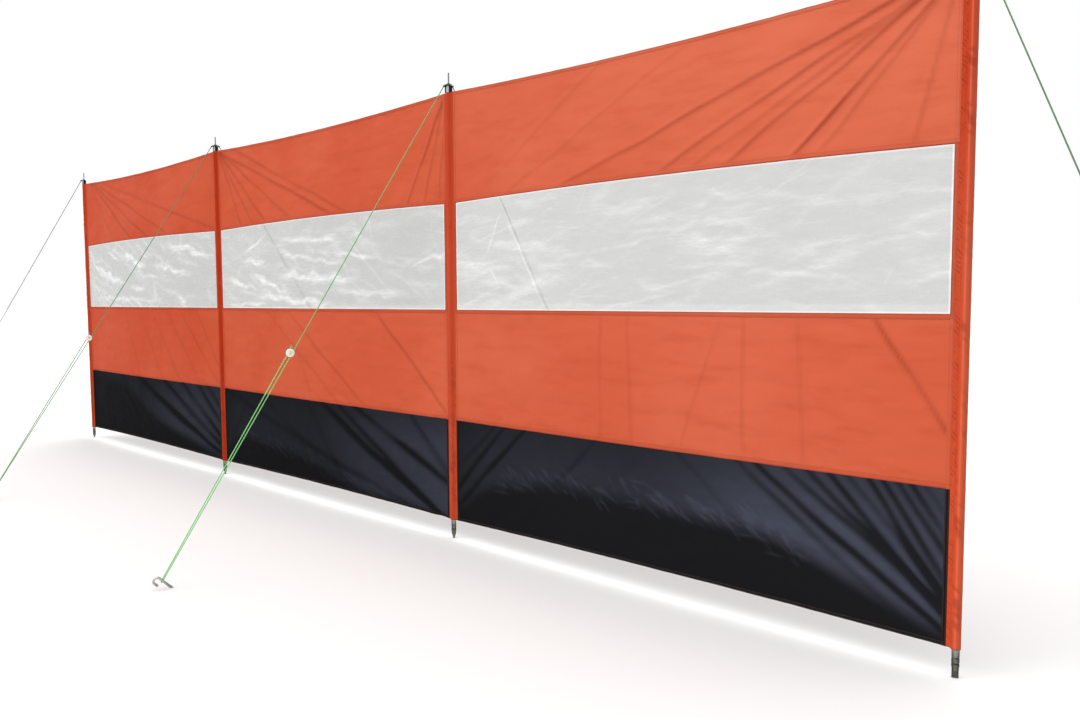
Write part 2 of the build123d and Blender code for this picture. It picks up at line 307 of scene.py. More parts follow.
class StageSettings(bpy.types.PropertyGroup):
    """Floor, light and camera."""

    floor_size: length("Floor size", "Side of the floor", 160.0)
    floor: colour("Floor", "Colour of the floor", (0.66, 0.66, 0.657))
    sky: colour("Surround", "Colour of the even surrounding light", (1.0, 1.0, 1.0))
    overhead: FloatProperty(
        name="Overhead", description="How much brighter the surround is overhead", default=1.2
    )
    key_strength: FloatProperty(name="Key strength", description="Strength of the key light", default=0.9)
    key_spread: FloatProperty(
        name="Key spread", description="Angle of the key light", default=math.radians(38), subtype="ANGLE"
    )
    key_way: FloatVectorProperty(
        name="Key way", description="Way from the windbreak to the key light", default=(-0.5, -0.6, 0.62),
        size=3, subtype="DIRECTION",
    )
    eye: FloatVectorProperty(
        name="Eye", description="Place of the camera", default=(5.4129, -1.8996, 0.7994), size=3,
        unit="LENGTH", subtype="TRANSLATION",
    )
    yaw: FloatProperty(
        name="Yaw", description="Turn of the view from +Y to -X", default=math.radians(43.634),
        subtype="ANGLE",
    )
    pitch: FloatProperty(
        name="Pitch", description="Tilt of the view below level", default=math.radians(4.039), subtype="ANGLE"
    )
    roll: FloatProperty(
        name="Roll", description="Roll of the view", default=math.radians(-0.292), subtype="ANGLE"
    )
    focal_length: FloatProperty(
        name="Focal length", description="Focal length on a 36 mm sensor", default=29.38, unit="CAMERA"
    )


class Signal:
    """One shader value. A sum of signals and numbers adds its own Math node."""

    def __init__(self, nodes, socket):
        self.nodes = nodes
        self.socket = socket

    def maths(self, operation, *values):
        return self.nodes.node("ShaderNodeMath", {"operation": operation}, dict(enumerate(values)))

    def __add__(self, other):
        return self.maths("ADD", self, other)

    def __radd__(self, other):
        return self.maths("ADD", other, self)

    def __sub__(self, other):
        return self.maths("SUBTRACT", self, other)

    def __rsub__(self, other):
        return self.maths("SUBTRACT", other, self)

    def __mul__(self, other):
        return self.maths("MULTIPLY", self, other)

    def __rmul__(self, other):
        return self.maths("MULTIPLY", other, self)

    def __truediv__(self, other):
        return self.maths("DIVIDE", self, other)

    def __rtruediv__(self, other):
        return self.maths("DIVIDE", other, self)

    def __pow__(self, other):
        return self.maths("POWER", self, other)

    def sine(self):
        return self.maths("SINE", self)

    def least(self, other):
        return self.maths("MINIMUM", self, other)

    def step(self, start, end):
        """0 below start and 1 above end, with a smooth rise between."""
        settings = {"interpolation_type": "SMOOTHSTEP", "clamp": True}
        return self.nodes.node(
            "ShaderNodeMapRange", settings, {"Value": self, "From Min": start, "From Max": end}
        )


class Nodes:
    """A node tree that is filled node by node."""

    def __init__(self, tree):
        self.tree = tree
        self.tree.nodes.clear()

    def node(self, kind, settings, sockets, output=0):
        made = self.tree.nodes.new(kind)
        for key, value in settings.items():
            setattr(made, key, value)
        for key, value in sockets.items():
            if isinstance(value, Signal):
                self.tree.links.new(value.socket, made.inputs[key])
            else:
                made.inputs[key].default_value = value
        return Signal(self, made.outputs[output]) if made.outputs else None

    def axis(self, name, vector=None):
        return self.node("ShaderNodeSeparateXYZ", {}, {0: vector or self.place}, name)

    def stretched(self, scale, vector=None):
        """Places scaled by a different number along each axis."""
        return self.node(
            "ShaderNodeVectorMath", {"operation": "MULTIPLY"}, {0: vector or self.place, 1: scale}
        )

    def noise(self, size, detail=3, rough=0.5, vector=None):
        """Soft noise from 0 to 1 with lumps of that size."""
        sockets = {"Vector": vector or self.place, "Scale": 1 / size, "Detail": detail, "Roughness": rough}
        return self.node("ShaderNodeTexNoise", {}, sockets)

    def attribute(self, name):
        return self.node("ShaderNodeAttribute", {"attribute_name": name}, {}, "Fac")

    def blend(self, factor, first, second, kind="MIX"):
        settings = {"data_type": "RGBA", "blend_type": kind}
        return self.node("ShaderNodeMix", settings, {0: factor, 6: first, 7: second}, 2)

    def bump(self, height, distance, strength=1.0, normal=None):
        sockets = {"Height": height, "Distance": distance, "Strength": strength}
        if normal:
            sockets["Normal"] = normal
        return self.node("ShaderNodeBump", {}, sockets)


class Finish(Nodes):
    """A material round one Principled shader."""

    def __init__(self, name):
        self.material = bpy.data.materials.new(name)
        self.material.use_nodes = True
        super().__init__(self.material.node_tree)
        self.place = self.node("ShaderNodeTexCoord", {}, {}, "Object")

    def surface(self, **sockets):
        named = {key.replace("_", " "): value for key, value in sockets.items()}
        if "Specular" in named:
            named["Specular IOR Level"] = named.pop("Specular")
        shader = self.node("ShaderNodeBsdfPrincipled", {}, named)
        self.node("ShaderNodeOutputMaterial", {}, {"Surface": shader})
        return self.material


def rgba(values, gain=1.0):
    return (*(min(1.0, value * gain) for value in values), 1.0)


def weave_height(finish, pitch):
    """Plain weave: threads over and under each other on a square grid."""
    turn = 2 * math.pi / pitch
    across = (finish.axis("X") * turn).sine()
    upright = (finish.axis("Z") * turn).sine()
    return across * upright


def row_ramp(finish, first, last, start=0.4, end=4.6):
    """Colour that runs along the row, from its left end to its paler right end."""
    return finish.blend(finish.axis("X").step(start, end), rgba(first), rgba(last))


def orange_cloth_finish(cloth):
    """Coated orange cloth: fine weave, faded patches, sun bleaching with painted sheen high at the right, and
    painted shade in its creases and laps.
    """
    finish = Finish("orange_panel_cloth")
    fade = finish.noise(0.5, 4, 0.55)
    streak = finish.noise(0.06, 4, 0.6, finish.stretched((0.35, 1, 1.6)))
    crease = finish.attribute("crease")
    # Paler towards the row's right end.
    base = row_ramp(finish, cloth.orange, cloth.faded)
    # Paler high at the right: sun bleaching and painted sheen.
    bleach_and_sheen = finish.axis("X").step(2.9, 4.4) * finish.axis("Z").step(0.7, 1.35)
    base = finish.blend(bleach_and_sheen * 0.6, base, rgba(cloth.pale_and_lit_orange))
    base = finish.blend(fade.step(0.3, 0.75) * 0.10, base, (0.9, 0.30, 0.18, 1.0))
    base = finish.blend(streak.step(0.45, 0.8) * 0.30, base, rgba(cloth.orange, 0.86))
    # Painted shade in the creases of the folds and along the laps.
    base = finish.blend(crease * 0.75, base, rgba(cloth.orange, 0.5))
    return finish.surface(
        Base_Color=base,
        Roughness=0.50 + streak * 0.16,
        Specular=0.06,
        Normal=finish.bump(weave_height(finish, cloth.weave_pitch), 0.00006, 0.5),
    )


def sleeve_cloth_finish(cloth):
    """The same cloth doubled round a pole, with painted light and shade: deeper at the row's left and at the
    top, lit at the right, with a painted glow, highlight and far-side shade on the right-hand sleeve, and
    darkest in the hollows of its wrinkles.
    """
    finish = Finish("orange_sleeve_cloth")
    patch = finish.noise(0.05, 4, 0.6, finish.stretched((1, 1, 0.5)))
    slant = finish.axis("Z") + finish.axis("X") * 1.1
    ruck = (slant * (2 * math.pi / cloth.stroke_pitch) + patch * 14).sine()
    last = finish.axis("X").step(4.0, 4.6)
    low = (1 - finish.axis("Z").step(0.35, 0.75)) * (1 - last)
    loose = (finish.attribute("slack") * (last + low) + low * 0.8).least(1.0)
    stroke = ruck.step(0.30, 0.95) * finish.noise(0.020, 3, 0.5).step(0.42, 0.62) * loose
    hollow = finish.attribute("crease")
    # Painted shade and light: sleeves deeper towards the row's left, lit towards its right end.
    base = row_ramp(finish, cloth.sleeve, cloth.lit_sleeve, 1.4, 4.8)
    base = finish.blend(finish.axis("X").step(0.4, 1.2), rgba(cloth.orange, 0.92), base)
    # Painted shade: deeper towards the top.
    base = finish.blend(finish.axis("Z").step(0.8, 1.3) * (0.35 + last * 0.2), base, rgba(cloth.sleeve, 1.05))
    # Painted glow low on the right-hand sleeve.
    glow = last * (1 - finish.axis("Z").step(0.2, 0.9)) * 0.6
    base = finish.blend(glow, base, rgba(cloth.sleeve_glow))
    across = finish.attribute("across")
    tube_highlight = across.step(-0.15, 0.08) * (1 - across.step(0.16, 0.36))
    # Right-hand sleeve: painted shade in the trough beside its lip, a painted highlight on its tube, painted
    # shade on its far side.
    base = finish.blend(last * (1 - across.step(-0.4, 0.0)) * 0.32, base, rgba(cloth.sleeve, 1.1))
    base = finish.blend(last * tube_highlight * 0.55, base, rgba(cloth.pale_and_lit_orange, 1.1))
    base = finish.blend(last * across.step(0.25, 0.9) * 0.6, base, rgba(cloth.sleeve_shade))
    base = finish.blend(patch.step(0.45, 0.8) * 0.2, base, rgba(cloth.faded, 1.1))
    # Painted shade in the hollows and rucks of the wrinkles.
    dark = (hollow * 0.4 + stroke * 0.6).least(1.0)
    base = finish.blend(dark, base, rgba(cloth.sleeve, 0.45))
    return finish.surface(
        Base_Color=base,
        Roughness=0.46 + patch * 0.14,
        Specular=0.05,
        Normal=finish.bump(1 - stroke, 0.0012, 0.35),
    )


def black_cloth_finish(cloth):
    """Coated black cloth: painted grey sheen above its fullest line, painted dead-black shade in its folds.
    """
    finish = Finish("black_skirt_cloth")
    patch = finish.noise(0.07, 5, 0.6)
    streak = finish.noise(0.02, 4, 0.6, finish.stretched((0.5, 1, 1.2)))
    along = finish.axis("X").step(2.8, 3.8)
    # Painted sheen above the fullest line and painted shade in the fold valleys; cloth and sheen are both
    # lighter towards the right end.
    painted_sheen = finish.attribute("painted_sheen") * (0.65 + patch * 0.35 + streak * 0.35) * (0.46 + along * 0.54)
    base = finish.blend(along, rgba(cloth.black), rgba(cloth.black, 1.4))
    base = finish.blend(painted_sheen.least(1.0), base, rgba(cloth.sheen_black))
    return finish.surface(
        Base_Color=base,
        Roughness=0.46 + streak * 0.16,
        Specular=0.003,
        Normal=finish.bump(weave_height(finish, cloth.skirt_weave_pitch), 0.00007, 0.5),
    )


def clear_film_finish(cloth):
    """Clear film: milky haze, pale wiped smears and specks, long scratches and a white welded rim."""
    finish = Finish("clear_window_film")
    drift = finish.noise(0.10, 5, 0.65, finish.stretched((0.35, 1, 1.8)))
    rub = finish.noise(0.014, 5, 0.7, finish.stretched((0.3, 1, 1.3)))
    speck = finish.noise(0.0052, 3, 0.6, finish.stretched((0.6, 1, 1.0)))
    smear = finish.attribute("smear")
    scratch = finish.attribute("crease")
    rim = finish.attribute("rim")
    haze = drift.step(0.3, 0.75) * 0.6 + rub.step(0.4, 0.75) * 0.4
    mark = smear * (0.5 + rub.step(0.35, 0.65) * 0.5) + speck.step(0.60, 0.76) * 0.18 * drift.step(0.35, 0.6)
    mark = (mark + scratch * 0.6 + rim).least(1.0)
    first, second = ([gain * part for part in cloth.film] for gain in (0.70, 0.78))
    base = row_ramp(finish, first, second, 1.4, 1.8)
    base = finish.blend(finish.axis("X").step(3.0, 3.4), base, rgba(cloth.film, 0.98))
    base = finish.blend(haze * 0.12, base, (1.0, 1.0, 1.0, 1.0))
    base = finish.blend(mark, base, (0.78, 0.79, 0.80, 1.0))
    alpha = (0.66 + haze * 0.06 + mark * 0.25).least(0.96)
    return finish.surface(
        Base_Color=base,
        Roughness=0.16 + rub * 0.2 + mark * 0.2,
        Specular=0.35,
        Alpha=alpha,
        Normal=finish.bump(drift + rub * 0.25, 0.0012, 0.35),
    )


def thread_finish(name, tint, pitch):
    """Twisted sewing thread."""
    finish = Finish(name)
    twist = ((finish.axis("X") + finish.axis("Z")) * (2 * math.pi / pitch)).sine()
    shade = finish.noise(0.03, 3, 0.5)
    base = finish.blend(shade, rgba(tint, 0.75), rgba(tint, 1.25))
    return finish.surface(
        Base_Color=base, Roughness=0.55 + shade * 0.2, Normal=finish.bump(twist, 0.0001, 0.6)
    )


def pole_steel_finish(poles):
    """Galvanised steel: bright at the head, dull and spotted towards the ground, with painted dark reflection
    where it turns away near the ground and painted shade in its crimps.
    """
    finish = Finish("worn_pole_steel")
    grain = finish.noise(0.004, 4, 0.6)
    blotch = finish.noise(0.012, 5, 0.65)
    drawn = finish.noise(0.0012, 2, 0.5, finish.stretched((1, 1, 0.04)))
    low = 1 - finish.axis("Z").step(0.3 * poles.weather_height, poles.weather_height)
    worn = (low * 0.75 + blotch * 0.5 - 0.15).step(0.1, 0.8)
    rust = (low * blotch).step(0.52, 0.68)
    base = finish.blend(grain, rgba(poles.steel, 0.85), rgba(poles.steel, 1.1))
    base = finish.blend(worn, base, rgba(poles.weathered))
    base = finish.blend(rust * 0.8, base, rgba(poles.rust))
    height = finish.axis("Z")
    # Painted shade in the grooves of the two crimps, in patches.
    for crimp in (poles.low_crimp, poles.high_crimp):
        below, above = crimp - poles.crimp_width, crimp + poles.crimp_width
        ring = height.step(below, crimp) * (1 - height.step(crimp, above))
        base = finish.blend(ring * blotch.step(0.3, 0.5), base, rgba(poles.crimp_shade))
    dull_pin = height.step(poles.bright_end, poles.dull_start) * 0.75
    base = finish.blend(dull_pin, base, rgba(poles.weathered, 0.9))
    # Painted reflection: dark towards the tube's sides near the ground.
    away = finish.node("ShaderNodeLayerWeight", {}, {"Blend": 0.5}, "Facing")
    base = finish.blend(away.step(0.06, 0.34) * low, base, rgba(poles.edge))
    return finish.surface(
        Base_Color=base,
        Metallic=1 - worn * 0.55 - rust * 0.4,
        Roughness=0.28 + drawn * 0.16 + worn * 0.2 + rust * 0.15,
        Normal=finish.bump(drawn + blotch * 0.5, 0.0002, 0.4),
    )


def peg_steel_finish(poles):
    """Galvanised rod with a spangle, scuffed and soiled at the ground."""
    finish = Finish("worn_peg_steel")
    spangle = finish.node("ShaderNodeTexVoronoi", {}, {"Vector": finish.place, "Scale": 260.0}, "Distance")
    scuff = finish.noise(0.006, 5, 0.65)
    soil = (1 - finish.axis("Z").step(0.004, 0.03)) * scuff.step(0.3, 0.65)
    base = finish.blend(spangle.step(0.1, 0.8), rgba(poles.steel, 0.75), rgba(poles.steel, 1.05))
    base = finish.blend(soil, base, rgba((0.10, 0.075, 0.05)))
    return finish.surface(
        Base_Color=base,
        Metallic=1 - soil * 0.9,
        Roughness=0.30 + scuff * 0.25 + soil * 0.3,
        Normal=finish.bump(scuff, 0.0003, 0.5),
    )


def webbing_finish(poles):
    """Black webbing with a ribbed weave and pale fluff on its ribs."""
    finish = Finish("ribbed_webbing")
    turn = 2 * math.pi / poles.webbing_pitch
    along = ((finish.axis("Z") + finish.axis("X")) * turn).sine()
    across = (finish.axis("Y") * turn).sine()
    rib = along * across * 0.5 + 0.5
    fluff = finish.noise(0.003, 4, 0.7)
    base = finish.blend(rib * 0.6 + fluff * 0.4, rgba(poles.webbing, 0.6), rgba(poles.webbing, 2.4))
    return finish.surface(
        Base_Color=base,
        Roughness=0.62 + fluff * 0.2,
        Specular=0.1,
        Sheen_Weight=0.03,
        Normal=finish.bump(rib, 0.0004, 0.8),
    )


def cord_finish(guys):
    """Braided guy cord: lime with pale flecks, relief from the braid's two hands of strands."""
    finish = Finish("braided_cord")
    wrap = finish.node("ShaderNodeUVMap", {"uv_map": "wrap"}, {})
    around = finish.axis("X", wrap) * (2 * math.pi)
    along = finish.axis("Y", wrap) * (2 * math.pi / guys.braid_pitch)
    right_hand = (around * 4 + along * 2).sine()
    left_hand = (around * 4 - along * 2).sine()
    braid = right_hand * left_hand * 0.5 + 0.5
    fleck = ((around + along).sine() * 0.5 + 0.5).step(0.80, 0.92) * braid.step(0.2, 0.6)
    soil = finish.noise(0.05, 4, 0.6)
    base = finish.blend(braid, rgba(guys.cord, 0.72), rgba(guys.cord, 1.1))
    base = finish.blend(fleck, base, rgba(guys.fleck))
    base = finish.blend(soil.step(0.55, 0.85) * 0.3, base, rgba(guys.cord, 0.5))
    # Painted shade darkens each guy by its own amount, more above the runners and at the loops on the pins.
    base = finish.blend(finish.attribute("dull"), base, rgba(guys.dull))
    return finish.surface(
        Base_Color=base,
        Roughness=0.5 + soil * 0.2,
        Sheen_Weight=0.1,
        Normal=finish.bump(braid, 0.0006, 0.7),
    )


def runner_finish(guys):
    """Moulded off-white plastic, yellowed and rubbed."""
    finish = Finish("moulded_plastic")
    patch = finish.noise(0.008, 4, 0.6)
    grain = finish.noise(0.0009, 3, 0.6)
    base = finish.blend(patch.step(0.35, 0.75), rgba(guys.runner), rgba((0.66, 0.62, 0.49)))
    return finish.surface(
        Base_Color=base, Roughness=0.36 + patch * 0.2, Normal=finish.bump(grain, 0.0001, 0.4)
    )


def floor_finish(stage):
    finish = Finish("pale_floor")
    cloud = finish.noise(1.5, 2, 0.4)
    base = finish.blend(cloud, rgba(stage.floor, 0.995), rgba(stage.floor, 1.005))
    return finish.surface(Base_Color=base, Roughness=0.9, Specular=0.0)


def surround(stage):
    """Even pale light all round, brighter overhead as under a large soft box."""
    world = bpy.data.worlds.new("surround")
    world.use_nodes = True
    nodes = Nodes(world.node_tree)
    way = nodes.node("ShaderNodeTexCoord", {}, {}, "Generated")
    overhead = nodes.axis("Z", way).step(0.45, 0.95)
    light = nodes.node(
        "ShaderNodeBackground", {}, {"Color": rgba(stage.sky), "Strength": 1 + overhead * stage.overhead}
    )
    nodes.node("ShaderNodeOutputWorld", {}, {"Surface": light})
    return world


def finish_once(name, make, *settings):
    """The finish of that name, made on its first use."""
    return bpy.data.materials.get(name) or make(*settings)


def smooth_step(value, start, end):
    t = np.clip((value - start) / (end - start), 0, 1)
    return t * t * (3 - 2 * t)


def wander(x, z, cell_x, cell_z, seed):
    """Smooth seeded noise from -1 to 1, with lumps of the given width and height."""
    cells = 64
    grid = np.random.default_rng(seed).uniform(-1, 1, (cells, cells))
    column, row = x / cell_x, z / cell_z
    left, under = np.floor(column).astype(int), np.floor(row).astype(int)
    s, t = smooth_step(column - left, 0, 1), smooth_step(row - under, 0, 1)

    def at(i, j):
        return grid[(under + j) % cells, (left + i) % cells]

    low = at(0, 0) * (1 - s) + at(1, 0) * s
    high = at(0, 1) * (1 - s) + at(1, 1) * s
    return low * (1 - t) + high * t


def grid_faces(rows, columns, closed=False):
    """Quads of a grid of points in row order; closed joins each row's end to its start."""
    last = columns if closed else columns - 1
    row, column = np.meshgrid(np.arange(rows - 1), np.arange(last), indexing="ij")
    here = row * columns + column
    beside = row * columns + (column + 1) % columns
    return np.stack([here, beside, beside + columns, here + columns], axis=-1).reshape(-1, 4)


def joined(shells):
    """Points and faces of several shells as one mesh."""
    starts = np.cumsum([0] + [len(points) for points, faces in shells])
    points = np.concatenate([points for points, faces in shells])
    return points, np.concatenate([faces + start for (_, faces), start in zip(shells, starts)])


def new_piece(name, points, faces, finish, slot):
    mesh = bpy.data.meshes.new(name)
    mesh.from_pydata(np.asarray(points, float).reshape(-1, 3).tolist(), [], np.asarray(faces).tolist())
    mesh.shade_smooth()
    mesh.materials.append(finish)
    piece = bpy.data.objects.new(name, mesh)
    bpy.context.scene.collection.objects.link(piece)
    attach(piece, BODY)
    return piece


def dress(node, finish):
    """Give a node of the frame its finish."""
    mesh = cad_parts[node].data
    mesh.materials.clear()
    mesh.materials.append(finish)


def add_attribute(piece, name, values):
    layer = piece.data.attributes.new(name, "FLOAT", "POINT")
    layer.data.foreach_set("value", np.asarray(values, np.float32).ravel())


class BayCloth:
    """Where the cloth of one bay lies: its sewn edges, billow, folds, crumples and puckers."""

    EDGES = ("hem", "seam", "sill", "head", "top")
    BANDS = {
        "ground_skirt": ("hem", "seam"),
        "lower_panel": ("seam", "sill"),
        "window": ("sill", "head"),
        "top_panel": ("head", "top"),
    }
    # A fold that ends nearer than this share of the width to a pole starts from the corner there
    CORNER = 0.03
    # Share of a fold's run over which it fades out
    FADE = 0.22
    # How sharply a skirt turns at its fullest line
    TURN = 14

    def __init__(self, cloth, bay):
        self.cloth = cloth
        self.bay = bay
        skirt_low, skirt_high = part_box(f"bay_{bay}_ground_skirt")
        lower_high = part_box(f"bay_{bay}_lower_panel")[1]
        top_low, top_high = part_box(f"bay_{bay}_top_panel")
        self.left, self.right = skirt_low.x, skirt_high.x
        self.height = {
            "hem": skirt_low.z,
            "seam": skirt_high.z,
            "sill": lower_high.z,
            "head": top_low.z,
            "top": top_high.z,
        }
        self.bow = {"hem": cloth.hem_rise, "head": cloth.window_rise, "top": -cloth.top_sag}

    def share(self, x):
        return (x - self.left) / (self.right - self.left)

    def off_side(self, x):
        """Distance from the nearer sewn side of the bay."""
        return np.minimum(x - self.left, self.right - x)

    def edge(self, name, x):
        """Height of a sewn edge along the bay."""
        u = self.share(x)
        return self.height[name] + self.bow.get(name, 0.0) * 4 * u * (1 - u)

    def columns(self, step):
        return np.linspace(self.left, self.right, round((self.right - self.left) / step) + 1)

    def grid(self, band, step):
        low, high = self.BANDS[band]
        x = self.columns(step)
        rows = round((self.height[high] - self.height[low]) / step) + 1
        v = np.linspace(0, 1, rows)[:, None]
        z = self.edge(low, x) * (1 - v) + self.edge(high, x) * v
        return np.broadcast_to(x, z.shape), z

    def folds(self, x, z):
        """Heights of the tension folds, and how sharply the cloth is creased."""
        height = np.zeros_like(z)
        crease = np.zeros_like(z)
        width = self.right - self.left
        for band, (low, high) in self.BANDS.items():
            z_low, z_high = self.height[low], self.height[high]
            skirt = band == "ground_skirt"
            tall = self.cloth.skirt_fold_height if skirt else self.cloth.panel_fold_height
            wide = self.cloth.skirt_fold_width if skirt else self.cloth.panel_fold_width
            for number, (foot, head, strength) in enumerate(FOLD_SHARES.get(f"bay_{self.bay}_{band}", ())):
                seed = 100 * self.bay + 10 * len(band) + number
                x_low, x_high = self.left + foot * width, self.left + head * width
                t = (z - z_low) / (z_high - z_low)
                run = math.hypot(x_high - x_low, z_high - z_low)
                away = ((x - x_low) * (z_high - z_low) - (z - z_low) * (x_high - x_low)) / run
                away = away + (0.2 if skirt else 0.4) * wide * wander(x, z, 0.16, 0.12, seed)
                spread = np.full_like(t, 0.75)
                start, end = -0.10, 1.10
                if skirt:
                    spread = 0.30 + 0.36 * np.sin(math.pi * np.clip(0.05 + 0.85 * t, 0, 1))
                    spread = FOLD_BREADTHS[self.bay] * spread
                    start, end = -0.27, 1.22
                elif not self.CORNER < foot < 1 - self.CORNER:
                    spread = 0.30 + 0.70 * np.clip(t, 0, 1)
                    start = -0.27
                elif not self.CORNER < head < 1 - self.CORNER:
                    spread = 0.30 + 0.70 * np.clip(1 - t, 0, 1)
                    end = 1.27
                along = smooth_step(t, start, start + self.FADE)
                along = along * (1 - smooth_step(t, end - self.FADE, end))
                along = along * (0.8 + 0.35 * wander(x, z, 0.2, 0.1, seed + 50))
                core = np.exp(-((away / (wide * spread)) ** 2))
                side = np.exp(-(((away + 1.3 * wide * spread) / (1.5 * wide * spread)) ** 2))
                if skirt:
                    height -= tall * strength * along * spread * (core - 0.4 * side)
                    valley = np.exp(-((away / (0.9 * wide * spread)) ** 2))
                    crease += strength * along * valley * (1 - smooth_step(t, 1.0, 1.03))
                else:
                    height += tall * strength * along * spread * (core - 0.55 * side)
                    crease += strength * along * np.exp(-((away / (0.45 * wide)) ** 2))
        return height, np.clip(crease, 0, 1)

    def fullest(self, x):
        """Height of the skirt's fullest line, as a share of the skirt."""
        u = self.share(x)
        along, up = zip(*FULLEST_SHARES[self.bay])
        line = sum(np.interp(u + shift, along, up) for shift in (-0.03, 0.0, 0.03)) / 3
        return line + 0.03 * wander(x, 0 * x, 0.3, 1.0, 80 + self.bay)

    def up_skirt(self, z):
        return (z - self.height["hem"]) / (self.height["seam"] - self.height["hem"])

    def ripples(self, x, z):
        """Small slanting ripples along the skirt's fullest line, 1 on their crests."""
        cloth = self.cloth
        t = self.up_skirt(z)
        mark = np.zeros_like(t)
        if not ((t > 0) & (t < 1)).any():
            return mark
        chance = np.random.default_rng(500 + self.bay)
        low, high = self.height["hem"], self.height["seam"]
        for number in range(cloth.ripple_count):
            across = self.left + chance.uniform(0.12, 0.80) * (self.right - self.left)
            up = self.fullest(np.array([across]))[0] + chance.normal(0.02, 0.06)
            slant = math.radians(chance.normal(-28, 13))
            run = cloth.ripple_length * chance.uniform(0.3, 1.0)
            strength = chance.uniform(0.15, 0.85)
            middle = (across, low + up * (high - low))
            mark += strength * self.soft_mark(x, z, middle, slant, run, cloth.ripple_width, 600 + number)
        inside = smooth_step(t, 0.0, 0.1) * (1 - smooth_step(t, 0.9, 1.0))
        return RIPPLED[self.bay] * np.clip(mark, 0, 1) * inside

    def belly(self, x, z):
        """How far the skirt hangs out, with the small ripples along its fullest line."""
        u, t = self.share(x), self.up_skirt(z)
        line = np.clip(self.fullest(x), 0.3, 0.7)
        rise, fall = np.clip(t / line, 0, 1), np.clip((1 - t) / (1 - line), 0, 1)
        hang = -np.log(np.exp(-self.TURN * rise) + np.exp(-self.TURN * fall)) / self.TURN
        hang = hang * smooth_step(u, 0.0, 0.16) * (1 - smooth_step(u, 0.62, 0.98))
        return self.cloth.belly_depth * hang + self.cloth.ripple * self.ripples(x, z)

    def painted_sheen(self, x, z, valleys):
        """Painted sheen on the skirt: faint above its fullest line, stronger on the flanks at its right,
        painted shade in the valleys of its folds and painted highlights on its ripple crests.
        """
        u, t = self.share(x), self.up_skirt(z)
        fan = smooth_step(u, 0.45, 0.85)
        ground = smooth_step(t - self.fullest(x), -0.10, 0.09) * (0.30 + 0.70 * fan)
        ground = ground * (1 - 0.45 * smooth_step(t, 0.65, 1.05)) * (0.7 + 0.3 * smooth_step(u, 0.0, 0.12))
        flank = 1 - 0.96 * np.clip(1.4 * valleys, 0, 1)
        return np.clip(ground * flank + 0.35 * self.ripples(x, z), 0, 1)

    def puckers(self, x, z):
        cloth = self.cloth
        height = np.zeros_like(z)
        for number, name in enumerate(self.EDGES):
            off = np.abs(z - self.edge(name, x))
            near = np.exp(-((off / cloth.pucker_reach) ** 2))
            height += near * wander(x, z, cloth.pucker_length, 4 * cloth.pucker_reach, 7 * self.bay + number)
        return cloth.pucker_height * height

    def lie(self, x, z):
        """How far back the cloth lies from the plane of the poles, and how strongly it is creased, for
        painted shade in its creases.
        """
        cloth = self.cloth
        x, z = np.broadcast_arrays(np.asarray(x, float), np.asarray(z, float))
        u = self.share(x)
        folds, crease = self.folds(x, z)
        rise = np.clip((z - self.height["hem"]) / (self.height["top"] - self.height["hem"]), 0, 1)
        billow = cloth.billow * np.clip(4 * u * (1 - u), 0, 1) * (0.6 + 0.4 * np.sin(math.pi * rise))
        crumple = wander(x, z, 0.09, 0.035, 40 + self.bay) + 0.6 * wander(x, z, 0.04, 0.018, 60 + self.bay)
        in_window = smooth_step(z, self.height["sill"] - 0.02, self.height["sill"] + 0.02) * (
            1 - smooth_step(z, self.height["head"] - 0.02, self.height["head"] + 0.02)
        )
        crumple = cloth.crumple * crumple * (1 + 0.5 * in_window)
        side = smooth_step(self.off_side(x), 0.0, 0.035)
        front = billow + side * (folds + crumple + self.belly(x, z) + self.puckers(x, z))
        return -front, crease * smooth_step(self.off_side(x), 0.002, 0.014)

    def soft_mark(self, x, z, middle, slant, run, wide, seed):
        """A soft stroke on the cloth or film, 1 along its middle line."""
        dx, dz = x - middle[0], z - middle[1]
        along = dx * math.cos(slant) + dz * math.sin(slant)
        away = dz * math.cos(slant) - dx * math.sin(slant)
        away = away + 1.2 * wide * wander(x, z, 0.05, 0.05, seed)
        return np.exp(-((along / run) ** 4)) * np.exp(-((away / wide) ** 2))

    def film_stroke(self, x, z, ends, wide, seed):
        """A mark on the film between two places, given as shares across and up the window."""
        low, high = self.height["sill"], self.height["head"]
        size = np.array([self.right - self.left, high - low])
        start, end = (np.array([self.left, low]) + size * place for place in (ends[:2], ends[2:]))
        reach = end - start
        slant, run = math.atan2(reach[1], reach[0]), 0.5 * math.hypot(*reach)
        return self.soft_mark(x, z, (start + end) / 2, slant, run, wide, seed)

    def film_creases(self, x, z):
        """Pale scratches where the film was folded and rubbed: many short ones and a few long ones."""
        cloth = self.cloth
        chance = np.random.default_rng(900 + self.bay)
        low, high = self.height["sill"], self.height["head"]
        mark = np.zeros_like(z)
        for number in range(cloth.crease_count):
            middle = (chance.uniform(self.left, self.right), chance.uniform(low, high))
            slant = chance.normal(0.1, 0.3) if number % 5 else chance.uniform(-1.4, 1.4)
            run = cloth.crease_length * chance.uniform(0.15, 1.0) ** 2
            strength = chance.uniform(0.1, 0.45)
            mark += strength * self.soft_mark(x, z, middle, slant, run, cloth.crease_width, number)
        for *ends, strength in SCRATCH_SHARES.get(self.bay, ()):
            mark += strength * self.film_stroke(x, z, ends, cloth.crease_width, 77)
        return np.clip(mark, 0, 1)

